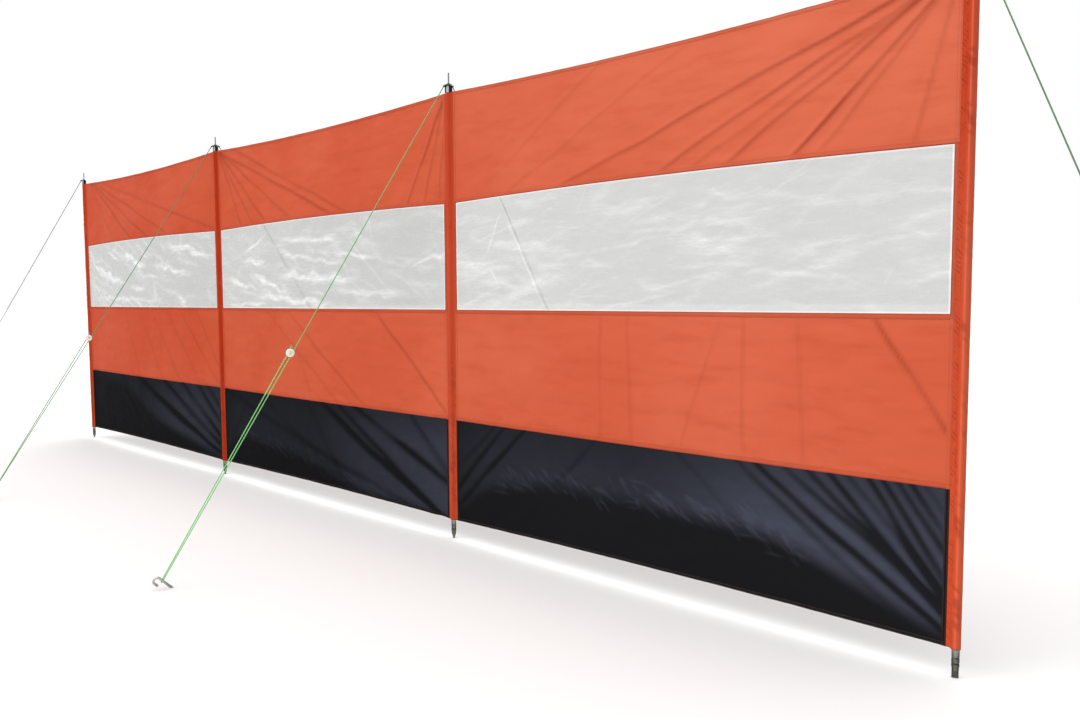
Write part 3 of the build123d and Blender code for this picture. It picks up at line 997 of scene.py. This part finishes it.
    def film_smears(self, x, z):
        """Broad pale smears where the film was folded away and wiped."""
        cloth = self.cloth
        mean, long, strong = SMEARS[self.bay]
        chance = np.random.default_rng(700 + self.bay)
        mark = np.zeros_like(z)
        for number in range(cloth.smear_count):
            middle = (
                chance.uniform(self.left, self.right),
                chance.uniform(self.height["sill"], self.height["head"]),
            )
            slant = math.radians(mean + chance.normal(0, 7 if number % 5 else 30))
            run = cloth.smear_length * long * chance.uniform(0.3, 1.0)
            wide = cloth.smear_width * chance.uniform(0.3, 1.0)
            strength = strong * chance.uniform(0.2, 0.9)
            mark += strength * self.soft_mark(x, z, middle, slant, run, wide, 200 + number)
        for number, (*ends, wide, strength) in enumerate(SMEAR_SHARES.get(self.bay, ())):
            mark += 2.2 * strength * self.film_stroke(x, z, ends, wide * cloth.smear_width, 400 + number)
        return 1 - np.exp(-mark)

    def rim(self, x, z, reach):
        off_side = self.off_side(x) - self.cloth.side_lap_width
        off_edge = np.minimum(z - self.edge("sill", x), self.edge("head", x) - z)
        return 1 - smooth_step(np.minimum(off_side, off_edge), 0.0, reach)


def cloth_sheet(bay_cloth, band, step, finish, slot):
    """One panel or window as a thin sheet that follows the bay's folds."""
    x, z = bay_cloth.grid(band, step)
    y, crease = bay_cloth.lie(x, z)
    if band == "window":
        crease = bay_cloth.film_creases(x, z)
        y = y - bay_cloth.cloth.crease_height * crease
    bay = bay_cloth.bay
    piece = new_piece(
        f"{band}_{bay}", np.stack([x, y, z], axis=-1), grid_faces(*z.shape), finish, slot
    )
    # crease: painted shade on the cloth, pale scratches on the film.
    add_attribute(piece, "crease", crease)
    if band == "window":
        add_attribute(piece, "rim", bay_cloth.rim(x, z, bay_cloth.cloth.rim_width))
        add_attribute(piece, "smear", bay_cloth.film_smears(x, z))
    if band == "ground_skirt":
        # Painted sheen and painted fold shade of the skirt, for its base colour.
        add_attribute(piece, "painted_sheen", bay_cloth.painted_sheen(x, z, crease))
    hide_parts(f"bay_{bay}_{band}")
    return piece


def lap_rings(bay_cloth, start, end, dark, rest):
    """A flat lap of cloth round the panel, ring by ring along it, and how dark each point is.

    start and end are the lap's two long edges, as points (x, z); dark is the painted shade of the turned edge
    at each point, and rest a darkening of the whole lap.
    """
    cloth = bay_cloth.cloth
    turn_under = cloth.dark_edge
    overs = (0.0, 0.4 * turn_under, turn_under, 1.4 * turn_under, 0.95, 1.0)
    shades = (1.0, 1.0, 0.8, 0.0, 0.0, 0.0)
    rings, darks = [], []
    for side, order in ((-1, 1), (1, -1)):
        for over, shade in list(zip(overs, shades))[::order]:
            x, z = ((1 - over) * a + over * b for a, b in zip(start, end))
            y = bay_cloth.lie(x, z)[0]
            thick = 0.45 if over in (0.0, 1.0) else 1.0
            rings.append(np.stack([x, y + side * thick * cloth.lap_thickness / 2, z], axis=-1))
            darks.append(np.maximum(shade * dark, rest))
    return np.stack(rings, axis=1), np.stack(darks, axis=1)


def bay_laps(bay_cloth, kind):
    """Hems and lapped seams of one colour in a bay, as points, faces and shades."""
    cloth = bay_cloth.cloth
    x = bay_cloth.columns(cloth.lap_step)
    whole = np.ones_like(x)
    laps = []
    if kind == "orange":
        # Painted shade where each lap turns under; the whole lap is darkened a little too.
        for name, reach, dark, rest in (
            ("top", -cloth.hem_width, 0.9, 0.04),
            ("head", cloth.seam_width, 1.0, 0.25),
            ("sill", -cloth.seam_width, 0.8, 0.25),
            ("seam", cloth.seam_width, 0.7, 0.35),
        ):
            edge = bay_cloth.edge(name, x)
            laps.append(((x, edge), (x, edge + reach), dark * whole, rest * whole))
        z = np.linspace(bay_cloth.height["seam"], bay_cloth.height["top"], SIDE_LAP_ROWS[kind])
        beside_film = smooth_step(z, *(bay_cloth.height["sill"] + np.array([-0.01, 0.0])))
        beside_film = beside_film * (1 - smooth_step(z, *(bay_cloth.height["head"] + np.array([0.0, 0.01]))))
    else:
        edge = bay_cloth.edge("hem", x)
        laps.append(((x, edge), (x, edge + cloth.hem_width), 0 * whole, 0 * whole))
        z = np.linspace(bay_cloth.height["hem"], bay_cloth.height["seam"], SIDE_LAP_ROWS[kind])
        beside_film = np.zeros_like(z)
    # Painted shadow along the side laps' edges beside the film.
    for side, out in ((bay_cloth.left, 1), (bay_cloth.right, -1)):
        sewn = np.full_like(z, side)
        laps.append(((sewn + out * cloth.side_lap_width, z), (sewn, z), beside_film, 0.4 * beside_film))
    shells, darks = [], []
    for start, end, dark, rest in laps:
        rings, shade = lap_rings(bay_cloth, start, end, dark, rest)
        shells.append((rings.reshape(-1, 3), grid_faces(*rings.shape[:2], closed=True)))
        darks.append(shade.ravel())
    return *joined(shells), np.concatenate(darks)


def stitch_shape(middles, ways, fronts, long, wide):
    """Small pointed humps of thread, one at each middle, as points and triangles."""
    across = np.cross(ways, fronts)
    corners = np.stack(
        [
            middles - ways * long / 2,
            middles + ways * long / 2,
            middles - across * wide / 2,
            middles + across * wide / 2,
            middles + fronts * wide / 2,
        ],
        axis=1,
    )
    faces = np.array([[0, 2, 4], [0, 4, 3], [1, 4, 2], [1, 3, 4]])
    start = 5 * np.arange(len(middles))[:, None, None]
    return corners.reshape(-1, 3), (faces[None] + start).reshape(-1, 3)


def stitch_row(bay_cloth, x, z, lift):
    """Front and back stitches along a line on the cloth."""
    y = bay_cloth.lie(x, z)[0]
    line = np.stack([x, y, z], axis=-1)
    ways = np.gradient(line, axis=0)
    ways /= np.linalg.norm(ways, axis=1)[:, None]
    middles, fronts = [], []
    for side in (-1.0, 1.0):
        middles.append(line + np.array([0, side * lift, 0]))
        fronts.append(np.tile([0, side, 0], (len(line), 1)))
    return np.concatenate(middles), np.tile(ways, (2, 1)), np.concatenate(fronts)


def bay_stitches(bay_cloth, kind):
    """All thread of one colour in a bay: double rows along hems and seams, single ones beside sleeves."""
    cloth = bay_cloth.cloth
    x = bay_cloth.columns(cloth.stitch_pitch)
    inset = 0.2 * cloth.seam_width
    lift = cloth.lap_thickness / 2 + 0.2 * cloth.thread_width
    rows = []
    if kind == "orange":
        lines = [("top", -inset), ("top", inset - cloth.hem_width)]
        for name, way in (("head", 1), ("sill", -1), ("seam", 1)):
            lines += [(name, way * inset), (name, way * (cloth.seam_width - inset))]
        low, high = bay_cloth.height["seam"], bay_cloth.height["top"]
    else:
        lines = [("hem", inset), ("hem", cloth.hem_width - inset)]
        low, high = bay_cloth.height["hem"], bay_cloth.height["seam"]
    for name, off in lines:
        rows.append(stitch_row(bay_cloth, x, bay_cloth.edge(name, x) + off, lift))
    z = np.linspace(low, high, round((high - low) / cloth.stitch_pitch))
    for side, out in ((bay_cloth.left, 1), (bay_cloth.right, -1)):
        for reach in (0.2, 0.65):
            beside = np.full_like(z, side + out * reach * cloth.seam_width)
            rows.append(stitch_row(bay_cloth, beside, z, lift))
    middles, ways, fronts = (np.concatenate(part) for part in zip(*rows))
    return stitch_shape(middles, ways, fronts, cloth.stitch_length, cloth.thread_width)


class WINDBREAK_OT_stage(bpy.types.Operator):
    """Lay the pale floor and set the soft light and the camera"""

    bl_idname = "windbreak.stage"
    bl_label = "Stage"

    def execute(self, context):
        stage = context.scene.windbreak_stage
        half = stage.floor_size / 2
        mesh = bpy.data.meshes.new("floor")
        corners = [(-half, -half, 0), (half, -half, 0), (half, half, 0), (-half, half, 0)]
        mesh.from_pydata(corners, [], [(0, 1, 2, 3)])
        mesh.materials.append(floor_finish(stage))
        floor = bpy.data.objects.new("floor", mesh)
        context.scene.collection.objects.link(floor)

        context.scene.world = surround(stage)
        key = bpy.data.lights.new("key", "SUN")
        key.energy = stage.key_strength
        key.angle = stage.key_spread
        lamp = bpy.data.objects.new("key", key)
        lamp.rotation_euler = Vector(stage.key_way).to_track_quat("Z", "Y").to_euler()
        context.scene.collection.objects.link(lamp)
        context.scene.view_settings.view_transform = "Standard"

        ahead = Vector((-math.sin(stage.yaw), math.cos(stage.yaw), 0))
        right = Vector((math.cos(stage.yaw), math.sin(stage.yaw), 0))
        up = Vector((0, 0, 1))
        view = ahead * math.cos(stage.pitch) - up * math.sin(stage.pitch)
        over = up * math.cos(stage.pitch) + ahead * math.sin(stage.pitch)
        side = right * math.cos(stage.roll) + over * math.sin(stage.roll)
        top = over * math.cos(stage.roll) - right * math.sin(stage.roll)
        lens = bpy.data.cameras.new("camera")
        lens.lens = stage.focal_length
        lens.sensor_width = 36
        lens.clip_start = 0.05
        lens.clip_end = 500
        camera = bpy.data.objects.new("camera", lens)
        turn = Matrix((side, top, -view)).transposed().to_4x4()
        camera.matrix_world = Matrix.Translation(stage.eye) @ turn
        context.scene.collection.objects.link(camera)
        context.scene.camera = camera
        return {"FINISHED"}


class WINDBREAK_OT_poles(bpy.types.Operator):
    """Give the pole tubes, ground spikes and top pins their worn steel"""

    bl_idname = "windbreak.poles"
    bl_label = "Poles"

    def execute(self, context):
        steel = pole_steel_finish(context.scene.windbreak_poles)
        for pole in POLES:
            for part in ("pole_tube", "ground_spike", "top_pin"):
                dress(f"{part}_{pole}", steel)
        return {"FINISHED"}


class WINDBREAK_OT_panels(bpy.types.Operator):
    """Hang the orange panels and black ground skirts with their folds"""

    bl_idname = "windbreak.panels"
    bl_label = "Cloth panels"

    def execute(self, context):
        cloth = context.scene.windbreak_cloth
        orange = finish_once("orange_panel_cloth", orange_cloth_finish, cloth)
        black = finish_once("black_skirt_cloth", black_cloth_finish, cloth)
        for bay in BAYS:
            bay_cloth = BayCloth(cloth, bay)
            cloth_sheet(bay_cloth, "top_panel", cloth.cloth_step, orange, "orange_cloth")
            cloth_sheet(bay_cloth, "lower_panel", cloth.cloth_step, orange, "orange_cloth")
            cloth_sheet(bay_cloth, "ground_skirt", cloth.skirt_step, black, "black_cloth")
        return {"FINISHED"}


class WINDBREAK_OT_windows(bpy.types.Operator):
    """Set the clear film windows"""

    bl_idname = "windbreak.windows"
    bl_label = "Windows"

    def execute(self, context):
        cloth = context.scene.windbreak_cloth
        film = clear_film_finish(cloth)
        for bay in BAYS:
            cloth_sheet(BayCloth(cloth, bay), "window", cloth.film_step, film, "clear_film")
        return {"FINISHED"}


class WINDBREAK_OT_seams(bpy.types.Operator):
    """Fold the hems and lap the seams of each bay"""

    bl_idname = "windbreak.seams"
    bl_label = "Hems and seams"

    def execute(self, context):
        cloth = context.scene.windbreak_cloth
        orange = finish_once("orange_panel_cloth", orange_cloth_finish, cloth)
        black = finish_once("black_skirt_cloth", black_cloth_finish, cloth)
        for kind, finish in (("orange", orange), ("black", black)):
            for bay in BAYS:
                points, faces, darks = bay_laps(BayCloth(cloth, bay), kind)
                piece = new_piece(f"{kind}_seams_{bay}", points, faces, finish, f"{kind}_cloth")
                add_attribute(piece, "crease", darks)
        return {"FINISHED"}


class WINDBREAK_OT_stitching(bpy.types.Operator):
    """Sew the rows of stitches along hems, seams and sleeves"""

    bl_idname = "windbreak.stitching"
    bl_label = "Stitching"

    def execute(self, context):
        cloth = context.scene.windbreak_cloth
        orange = thread_finish("orange_thread", cloth.orange_thread, cloth.thread_twist)
        brown = thread_finish("brown_thread", cloth.brown_thread, cloth.thread_twist)
        for kind, finish in (("orange", orange), ("black", brown)):
            for bay in BAYS:
                points, faces = bay_stitches(BayCloth(cloth, bay), kind)
                new_piece(f"{kind}_stitching_{bay}", points, faces, finish, f"{kind}_cloth")
        return {"FINISHED"}


def sleeve_outline(left, right, radius, lip, thickness=0.0016, count=44):
    """Plan of a sleeve round its pole: points, and which share of each is free to wrinkle."""
    half = thickness / 2

    def depth(x, reach):
        if reach <= radius * 1.01:
            return math.sqrt(max(0.0, radius ** 2 - x ** 2))
        flat = reach - lip
        touch = radius ** 2 / flat
        rest = radius * math.sqrt(1 - (radius / flat) ** 2)
        if x <= touch:
            return math.sqrt(max(0.0, radius ** 2 - x ** 2))
        if x >= flat:
            return half
        return half + (rest - half) * (flat - x) / (flat - touch)

    points, free = [], []
    for side in (-1, 1):
        for step in range(count // 2):
            way = side * math.cos(math.pi * step / (count // 2))
            reach = right if way > 0 else -left
            x = abs(way) * reach
            y = depth(x, reach)
            points.append((math.copysign(x, way), side * y))
            free.append(min(1.0, max(0.0, (y - half) / (radius - half))))
    return np.array(points), np.array(free)


class WINDBREAK_OT_sleeves(bpy.types.Operator):
    """Draw the wrinkled pole sleeves over the tubes"""

    bl_idname = "windbreak.sleeves"
    bl_label = "Pole sleeves"

    def execute(self, context):
        cloth = context.scene.windbreak_cloth
        finish = sleeve_cloth_finish(cloth)
        for pole in POLES:
            low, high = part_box(f"pole_sleeve_{pole}")
            tube_low, tube_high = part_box(f"pole_tube_{pole}")
            middle = (tube_low.x + tube_high.x) / 2
            radius = (high.y - low.y) / 2
            plan, free = sleeve_outline(low.x - middle, high.x - middle, radius, cloth.sleeve_lip)
            z = np.linspace(low.z, high.z, cloth.sleeve_rows)
            turn = np.arctan2(plan[:, 1], plan[:, 0])
            around = np.cumsum(np.linalg.norm(np.diff(plan, axis=0, prepend=plan[:1]), axis=1))
            zz, aa = np.meshgrid(z, around, indexing="ij")
            short = wander(zz + 0.7 * aa, aa, 0.009, 0.013, 300 + pole)
            short = short * smooth_step(wander(zz, aa, 0.09, 0.03, 320 + pole), -0.5, 0.5)
            long = wander(zz + 2.0 * aa, aa, 0.06, 0.012, 340 + pole)
            wrinkle = 0.7 * short + 0.5 * long
            swell = cloth.sleeve_wrinkle * wrinkle * free
            out = np.stack([np.cos(turn), np.sin(turn)], axis=-1)
            plane = plan[None] + out[None] * (swell + 0.4 * cloth.sleeve_wrinkle * free)[..., None]
            points = np.concatenate([plane, zz[..., None]], axis=-1)
            inner = points.copy()
            inner[..., :2] *= cloth.turned_share
            turned = cloth.turned_rows
            rings = np.concatenate([inner[turned:0:-1], points, inner[-2:-turned - 2:-1]])
            rings[..., 0] += middle
            # Painted shade in the hollows of the wrinkles.
            hollow = smooth_step(-wrinkle, 0.15, 0.75) * free
            hollow = np.concatenate([hollow[turned:0:-1], hollow, hollow[-2:-turned - 2:-1]])
            faces = grid_faces(rings.shape[0], rings.shape[1], closed=True)
            piece = new_piece(f"sleeve_{pole}", rings, faces, finish, "orange_cloth")
            add_attribute(piece, "crease", hollow)
            reach = np.where(plan[:, 0] > 0, high.x - middle, middle - low.x)
            slack = smooth_step(np.abs(plan[:, 0]), 0.55 * radius, 0.95 * radius) * (reach > 1.01 * radius)
            add_attribute(piece, "slack", np.tile(slack, len(rings)))
            add_attribute(piece, "across", np.tile(plan[:, 0] / radius, len(rings)))
            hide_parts(f"pole_sleeve_{pole}")
        return {"FINISHED"}


def strap_half(poles, leg, foot, crown, half_width, side):
    """One half of a strap's width, ring by ring over the pole's head, with half of the pin's hole."""
    bend = poles.strap_bend
    rise, across = crown - bend - foot, 2 * (leg - bend)
    quarter = 0.5 * math.pi * bend
    reach = np.cumsum([0.0, rise, quarter, across, quarter, rise])
    spots = np.linspace(0, reach[-1], round(reach[-1] / poles.strap_step))
    rings = []
    for spot in spots:
        if spot < reach[1]:
            middle, turn = (-leg, foot + spot), math.pi
        elif spot < reach[2]:
            turn = math.pi - (spot - reach[1]) / bend
            middle = (bend - leg + bend * math.cos(turn), crown - bend + bend * math.sin(turn))
        elif spot < reach[3]:
            middle, turn = (bend - leg + spot - reach[2], crown), math.pi / 2
        elif spot < reach[4]:
            turn = math.pi / 2 - (spot - reach[3]) / bend
            middle = (leg - bend + bend * math.cos(turn), crown - bend + bend * math.sin(turn))
        else:
            middle, turn = (leg, crown - bend - (spot - reach[4])), 0.0
        hole = math.sqrt(max(0.0, poles.strap_hole ** 2 - (spot - reach[-1] / 2) ** 2))
        half = poles.strap_thickness / 2 * (0.94 + 0.06 * math.cos(2 * math.pi * spot / poles.rib_pitch))
        ring = []
        for thick, wide in (
            (1.0, 0.0), (1.0, 0.5), (0.9, 0.94), (0.4, 1.0),
            (-0.4, 1.0), (-0.9, 0.94), (-1.0, 0.5), (-1.0, 0.0),
        ):
            out = thick * half
            y = side * (hole + (half_width - hole) * wide)
            ring.append((middle[0] + out * math.cos(turn), y, middle[1] + out * math.sin(turn)))
        rings.append(ring)
    return np.array(rings)


class WINDBREAK_OT_straps(bpy.types.Operator):
    """Bend the webbing straps over the pole heads"""

    bl_idname = "windbreak.straps"
    bl_label = "Top straps"

    def execute(self, context):
        poles = context.scene.windbreak_poles
        finish = webbing_finish(poles)
        for pole in POLES:
            low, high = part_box(f"top_strap_{pole}")
            half = poles.strap_thickness / 2
            leg, crown = (high.x - low.x) / 2 - half, high.z - half
            shells = []
            for side in (-1, 1):
                rings = strap_half(poles, leg, low.z, crown, (high.y - low.y) / 2, side)
                rings[..., 0] += (low.x + high.x) / 2
                ends = np.array([[0, 1, 6, 7], [1, 2, 5, 6], [2, 3, 4, 5]])
                last = (len(rings) - 1) * STRAP_SIDES
                faces = [grid_faces(len(rings), STRAP_SIDES, closed=True), ends, ends[:, ::-1] + last]
                shells.append((rings.reshape(-1, 3), np.concatenate(faces)))
            strap = new_piece(f"strap_{pole}", *joined(shells), finish, "black_webbing")
            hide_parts(f"top_strap_{pole}")
        return {"FINISHED"}


def tube_along(path, radius, sides, step):
    """Round tube along a path: points ring by ring, and the wrap of each point round and along it."""
    path = np.asarray(path, float)
    runs = np.linalg.norm(np.diff(path, axis=0), axis=1)
    reach = np.concatenate([[0], np.cumsum(runs)])
    spots = np.unique(np.concatenate([reach, np.arange(0, reach[-1], step)]))
    line = np.stack([np.interp(spots, reach, path[:, k]) for k in range(3)], axis=-1)
    ways = np.gradient(line, axis=0)
    ways /= np.linalg.norm(ways, axis=1)[:, None]
    normal = np.cross(ways[0], [0.3, 0.9, 0.2])
    rings = []
    turn = 2 * math.pi * np.arange(sides) / sides
    for spot, way in zip(line, ways):
        normal = normal - way * (normal @ way)
        normal /= np.linalg.norm(normal)
        side = np.cross(way, normal)
        rings.append(spot + radius * (np.cos(turn)[:, None] * normal + np.sin(turn)[:, None] * side))
    return np.array(rings), spots


def knot_path(middle, along, across, size):
    """Overhand knot as a small three-lobed curve, drawn tight round a strand."""
    face = np.cross(along, across)
    path = []
    for turn in np.linspace(0.0, 2 * math.pi, 49):
        a = (math.sin(turn) + 2 * math.sin(2 * turn)) / 3
        b = (math.cos(turn) - 2 * math.cos(2 * turn)) / 3
        c = -math.sin(3 * turn) / 2.2
        path.append(middle + size * (a * across + b * face + c * along))
    return path


class WINDBREAK_OT_guys(bpy.types.Operator):
    """Run the braided guy lines from the pins round the pegs and back to the runners"""

    bl_idname = "windbreak.guys"
    bl_label = "Guy lines"

    def execute(self, context):
        guys = context.scene.windbreak_guys
        finish = cord_finish(guys)
        for name, pole, direction, level, cord_shade in GUYS:
            low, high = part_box(f"pole_tube_{pole}")
            middle = (low.x + high.x) / 2
            turn = math.radians(direction)
            out = np.array([math.cos(turn), math.sin(turn), 0])
            across = np.array([-math.sin(turn), math.cos(turn), 0])
            up = np.array([0.0, 0.0, 1.0])
            pin = np.array([middle, 0, guys.first_loop_height + level * guys.loop_step])
            neck = pin + out * guys.neck_reach
            peg_axis = out * math.sin(guys.peg_lean) + up * math.cos(guys.peg_lean)
            seat_along = guys.peg_seat_height / math.cos(guys.peg_lean)
            foot = np.array([middle, 0, 0])
            strand_end = foot + out * guys.guy_reach + peg_axis * seat_along
            seat = strand_end - across * guys.strand_radius
            strand = strand_end - neck
            along = strand / np.linalg.norm(strand)
            outward = np.cross(along, across)
            return_bore = neck + strand * guys.runner_share + outward * (2 * guys.strand_radius)
            lead_end = seat - across * guys.strand_radius - along * guys.return_lead
            back = return_bore - lead_end
            back /= np.linalg.norm(back)
            end_knot = return_bore + back * (guys.runner_radius + guys.knot_radius)

            touch = math.acos(guys.loop_radius / guys.neck_reach)
            loop = [
                pin + guys.loop_radius * (math.cos(a) * out + math.sin(a) * across)
                for a in np.linspace(touch, 2 * math.pi - touch, 20)
            ]
            turn_round = [
                seat + guys.strand_radius * (math.cos(a) * across + math.sin(a) * along)
                for a in np.linspace(0, math.pi, 12)
            ]
            main = [neck, *loop, neck + along * guys.strand_lead, *turn_round, lead_end, end_knot]
            tail = [
                end_knot,
                end_knot + guys.tail_length * (0.5 * back + 0.3 * outward),
                end_knot + guys.tail_length * (0.6 * back + 0.75 * outward - 0.2 * up),
            ]
            knot_size = guys.knot_radius - 0.2 * guys.cord_diameter
            runs = [
                (main, 0.5), (tail, 0.46),
                (knot_path(neck + along * guys.loop_knot_reach, along, across, knot_size), 0.42),
                (knot_path(end_knot, back, across, knot_size), 0.42),
            ]
            shells, wraps = [], []
            for path, thick in runs:
                rings, spots = tube_along(path, thick * guys.cord_diameter, CORD_SIDES, guys.cord_step)
                shells.append((rings.reshape(-1, 3), grid_faces(*rings.shape[:2], closed=True)))
                around = np.tile(np.arange(CORD_SIDES) / CORD_SIDES, len(spots))
                wraps.append(np.stack([around, np.repeat(spots, CORD_SIDES)], axis=-1))
            points, faces = joined(shells)
            wraps = np.concatenate(wraps)
            cord = new_piece(f"{name}_cord", points, faces, finish, "guy_cord")
            z = points[:, 2]
            # Darker above the runners and at the loops on the pins, added to each guy's painted shade.
            soil = 0.35 * smooth_step(z, 0.62, 0.68) + 0.62 * smooth_step(z, 1.45, 1.482)
            add_attribute(cord, "dull", cord_shade + (1 - cord_shade) * soil)
            layer = cord.data.uv_layers.new(name="wrap")
            corner = np.zeros(len(cord.data.loops), int)
            cord.data.loops.foreach_get("vertex_index", corner)
            layer.data.foreach_set("uv", wraps[corner].astype(np.float32).ravel())
            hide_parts(name)
        return {"FINISHED"}


class WINDBREAK_OT_fittings(bpy.types.Operator):
    """Give the runners their plastic and the pegs their galvanised steel"""

    bl_idname = "windbreak.fittings"
    bl_label = "Runners and pegs"

    def execute(self, context):
        plastic = runner_finish(context.scene.windbreak_guys)
        steel = peg_steel_finish(context.scene.windbreak_poles)
        for name, *_ in GUYS:
            for part, finish in (("runner", plastic), ("peg", steel)):
                dress(f"{name}_{part}", finish)
        return {"FINISHED"}


OPERATORS = (
    WINDBREAK_OT_stage,
    WINDBREAK_OT_poles,
    WINDBREAK_OT_seams,
    WINDBREAK_OT_stitching,
    WINDBREAK_OT_panels,
    WINDBREAK_OT_windows,
    WINDBREAK_OT_sleeves,
    WINDBREAK_OT_straps,
    WINDBREAK_OT_guys,
    WINDBREAK_OT_fittings,
)
SETTINGS = {
    "windbreak_cloth": ClothSettings,
    "windbreak_poles": PoleSettings,
    "windbreak_guys": GuySettings,
    "windbreak_stage": StageSettings,
}


class WINDBREAK_PT_sidebar(bpy.types.Panel):
    """Lists the windbreak's pieces in the order they are made"""

    bl_idname = "WINDBREAK_PT_sidebar"
    bl_label = "Beach windbreak"
    bl_space_type = "VIEW_3D"
    bl_region_type = "UI"
    bl_category = "Windbreak"

    def draw(self, context):
        for operator in OPERATORS:
            self.layout.operator(operator.bl_idname)


def register():
    for name, group in SETTINGS.items():
        bpy.utils.register_class(group)
        setattr(bpy.types.Scene, name, PointerProperty(type=group))
    for operator in OPERATORS:
        bpy.utils.register_class(operator)
    bpy.utils.register_class(WINDBREAK_PT_sidebar)


def unregister():
    bpy.utils.unregister_class(WINDBREAK_PT_sidebar)
    for operator in reversed(OPERATORS):
        bpy.utils.unregister_class(operator)
    for name, group in SETTINGS.items():
        delattr(bpy.types.Scene, name)
        bpy.utils.unregister_class(group)


def main():
    register()
    bpy.ops.windbreak.stage()
    bpy.ops.windbreak.poles()
    bpy.ops.windbreak.seams()
    bpy.ops.windbreak.stitching()
    bpy.ops.windbreak.panels()
    bpy.ops.windbreak.windows()
    bpy.ops.windbreak.sleeves()
    bpy.ops.windbreak.straps()
    bpy.ops.windbreak.guys()
    bpy.ops.windbreak.fittings()
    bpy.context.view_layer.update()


if __name__ == "__main__":
    main()
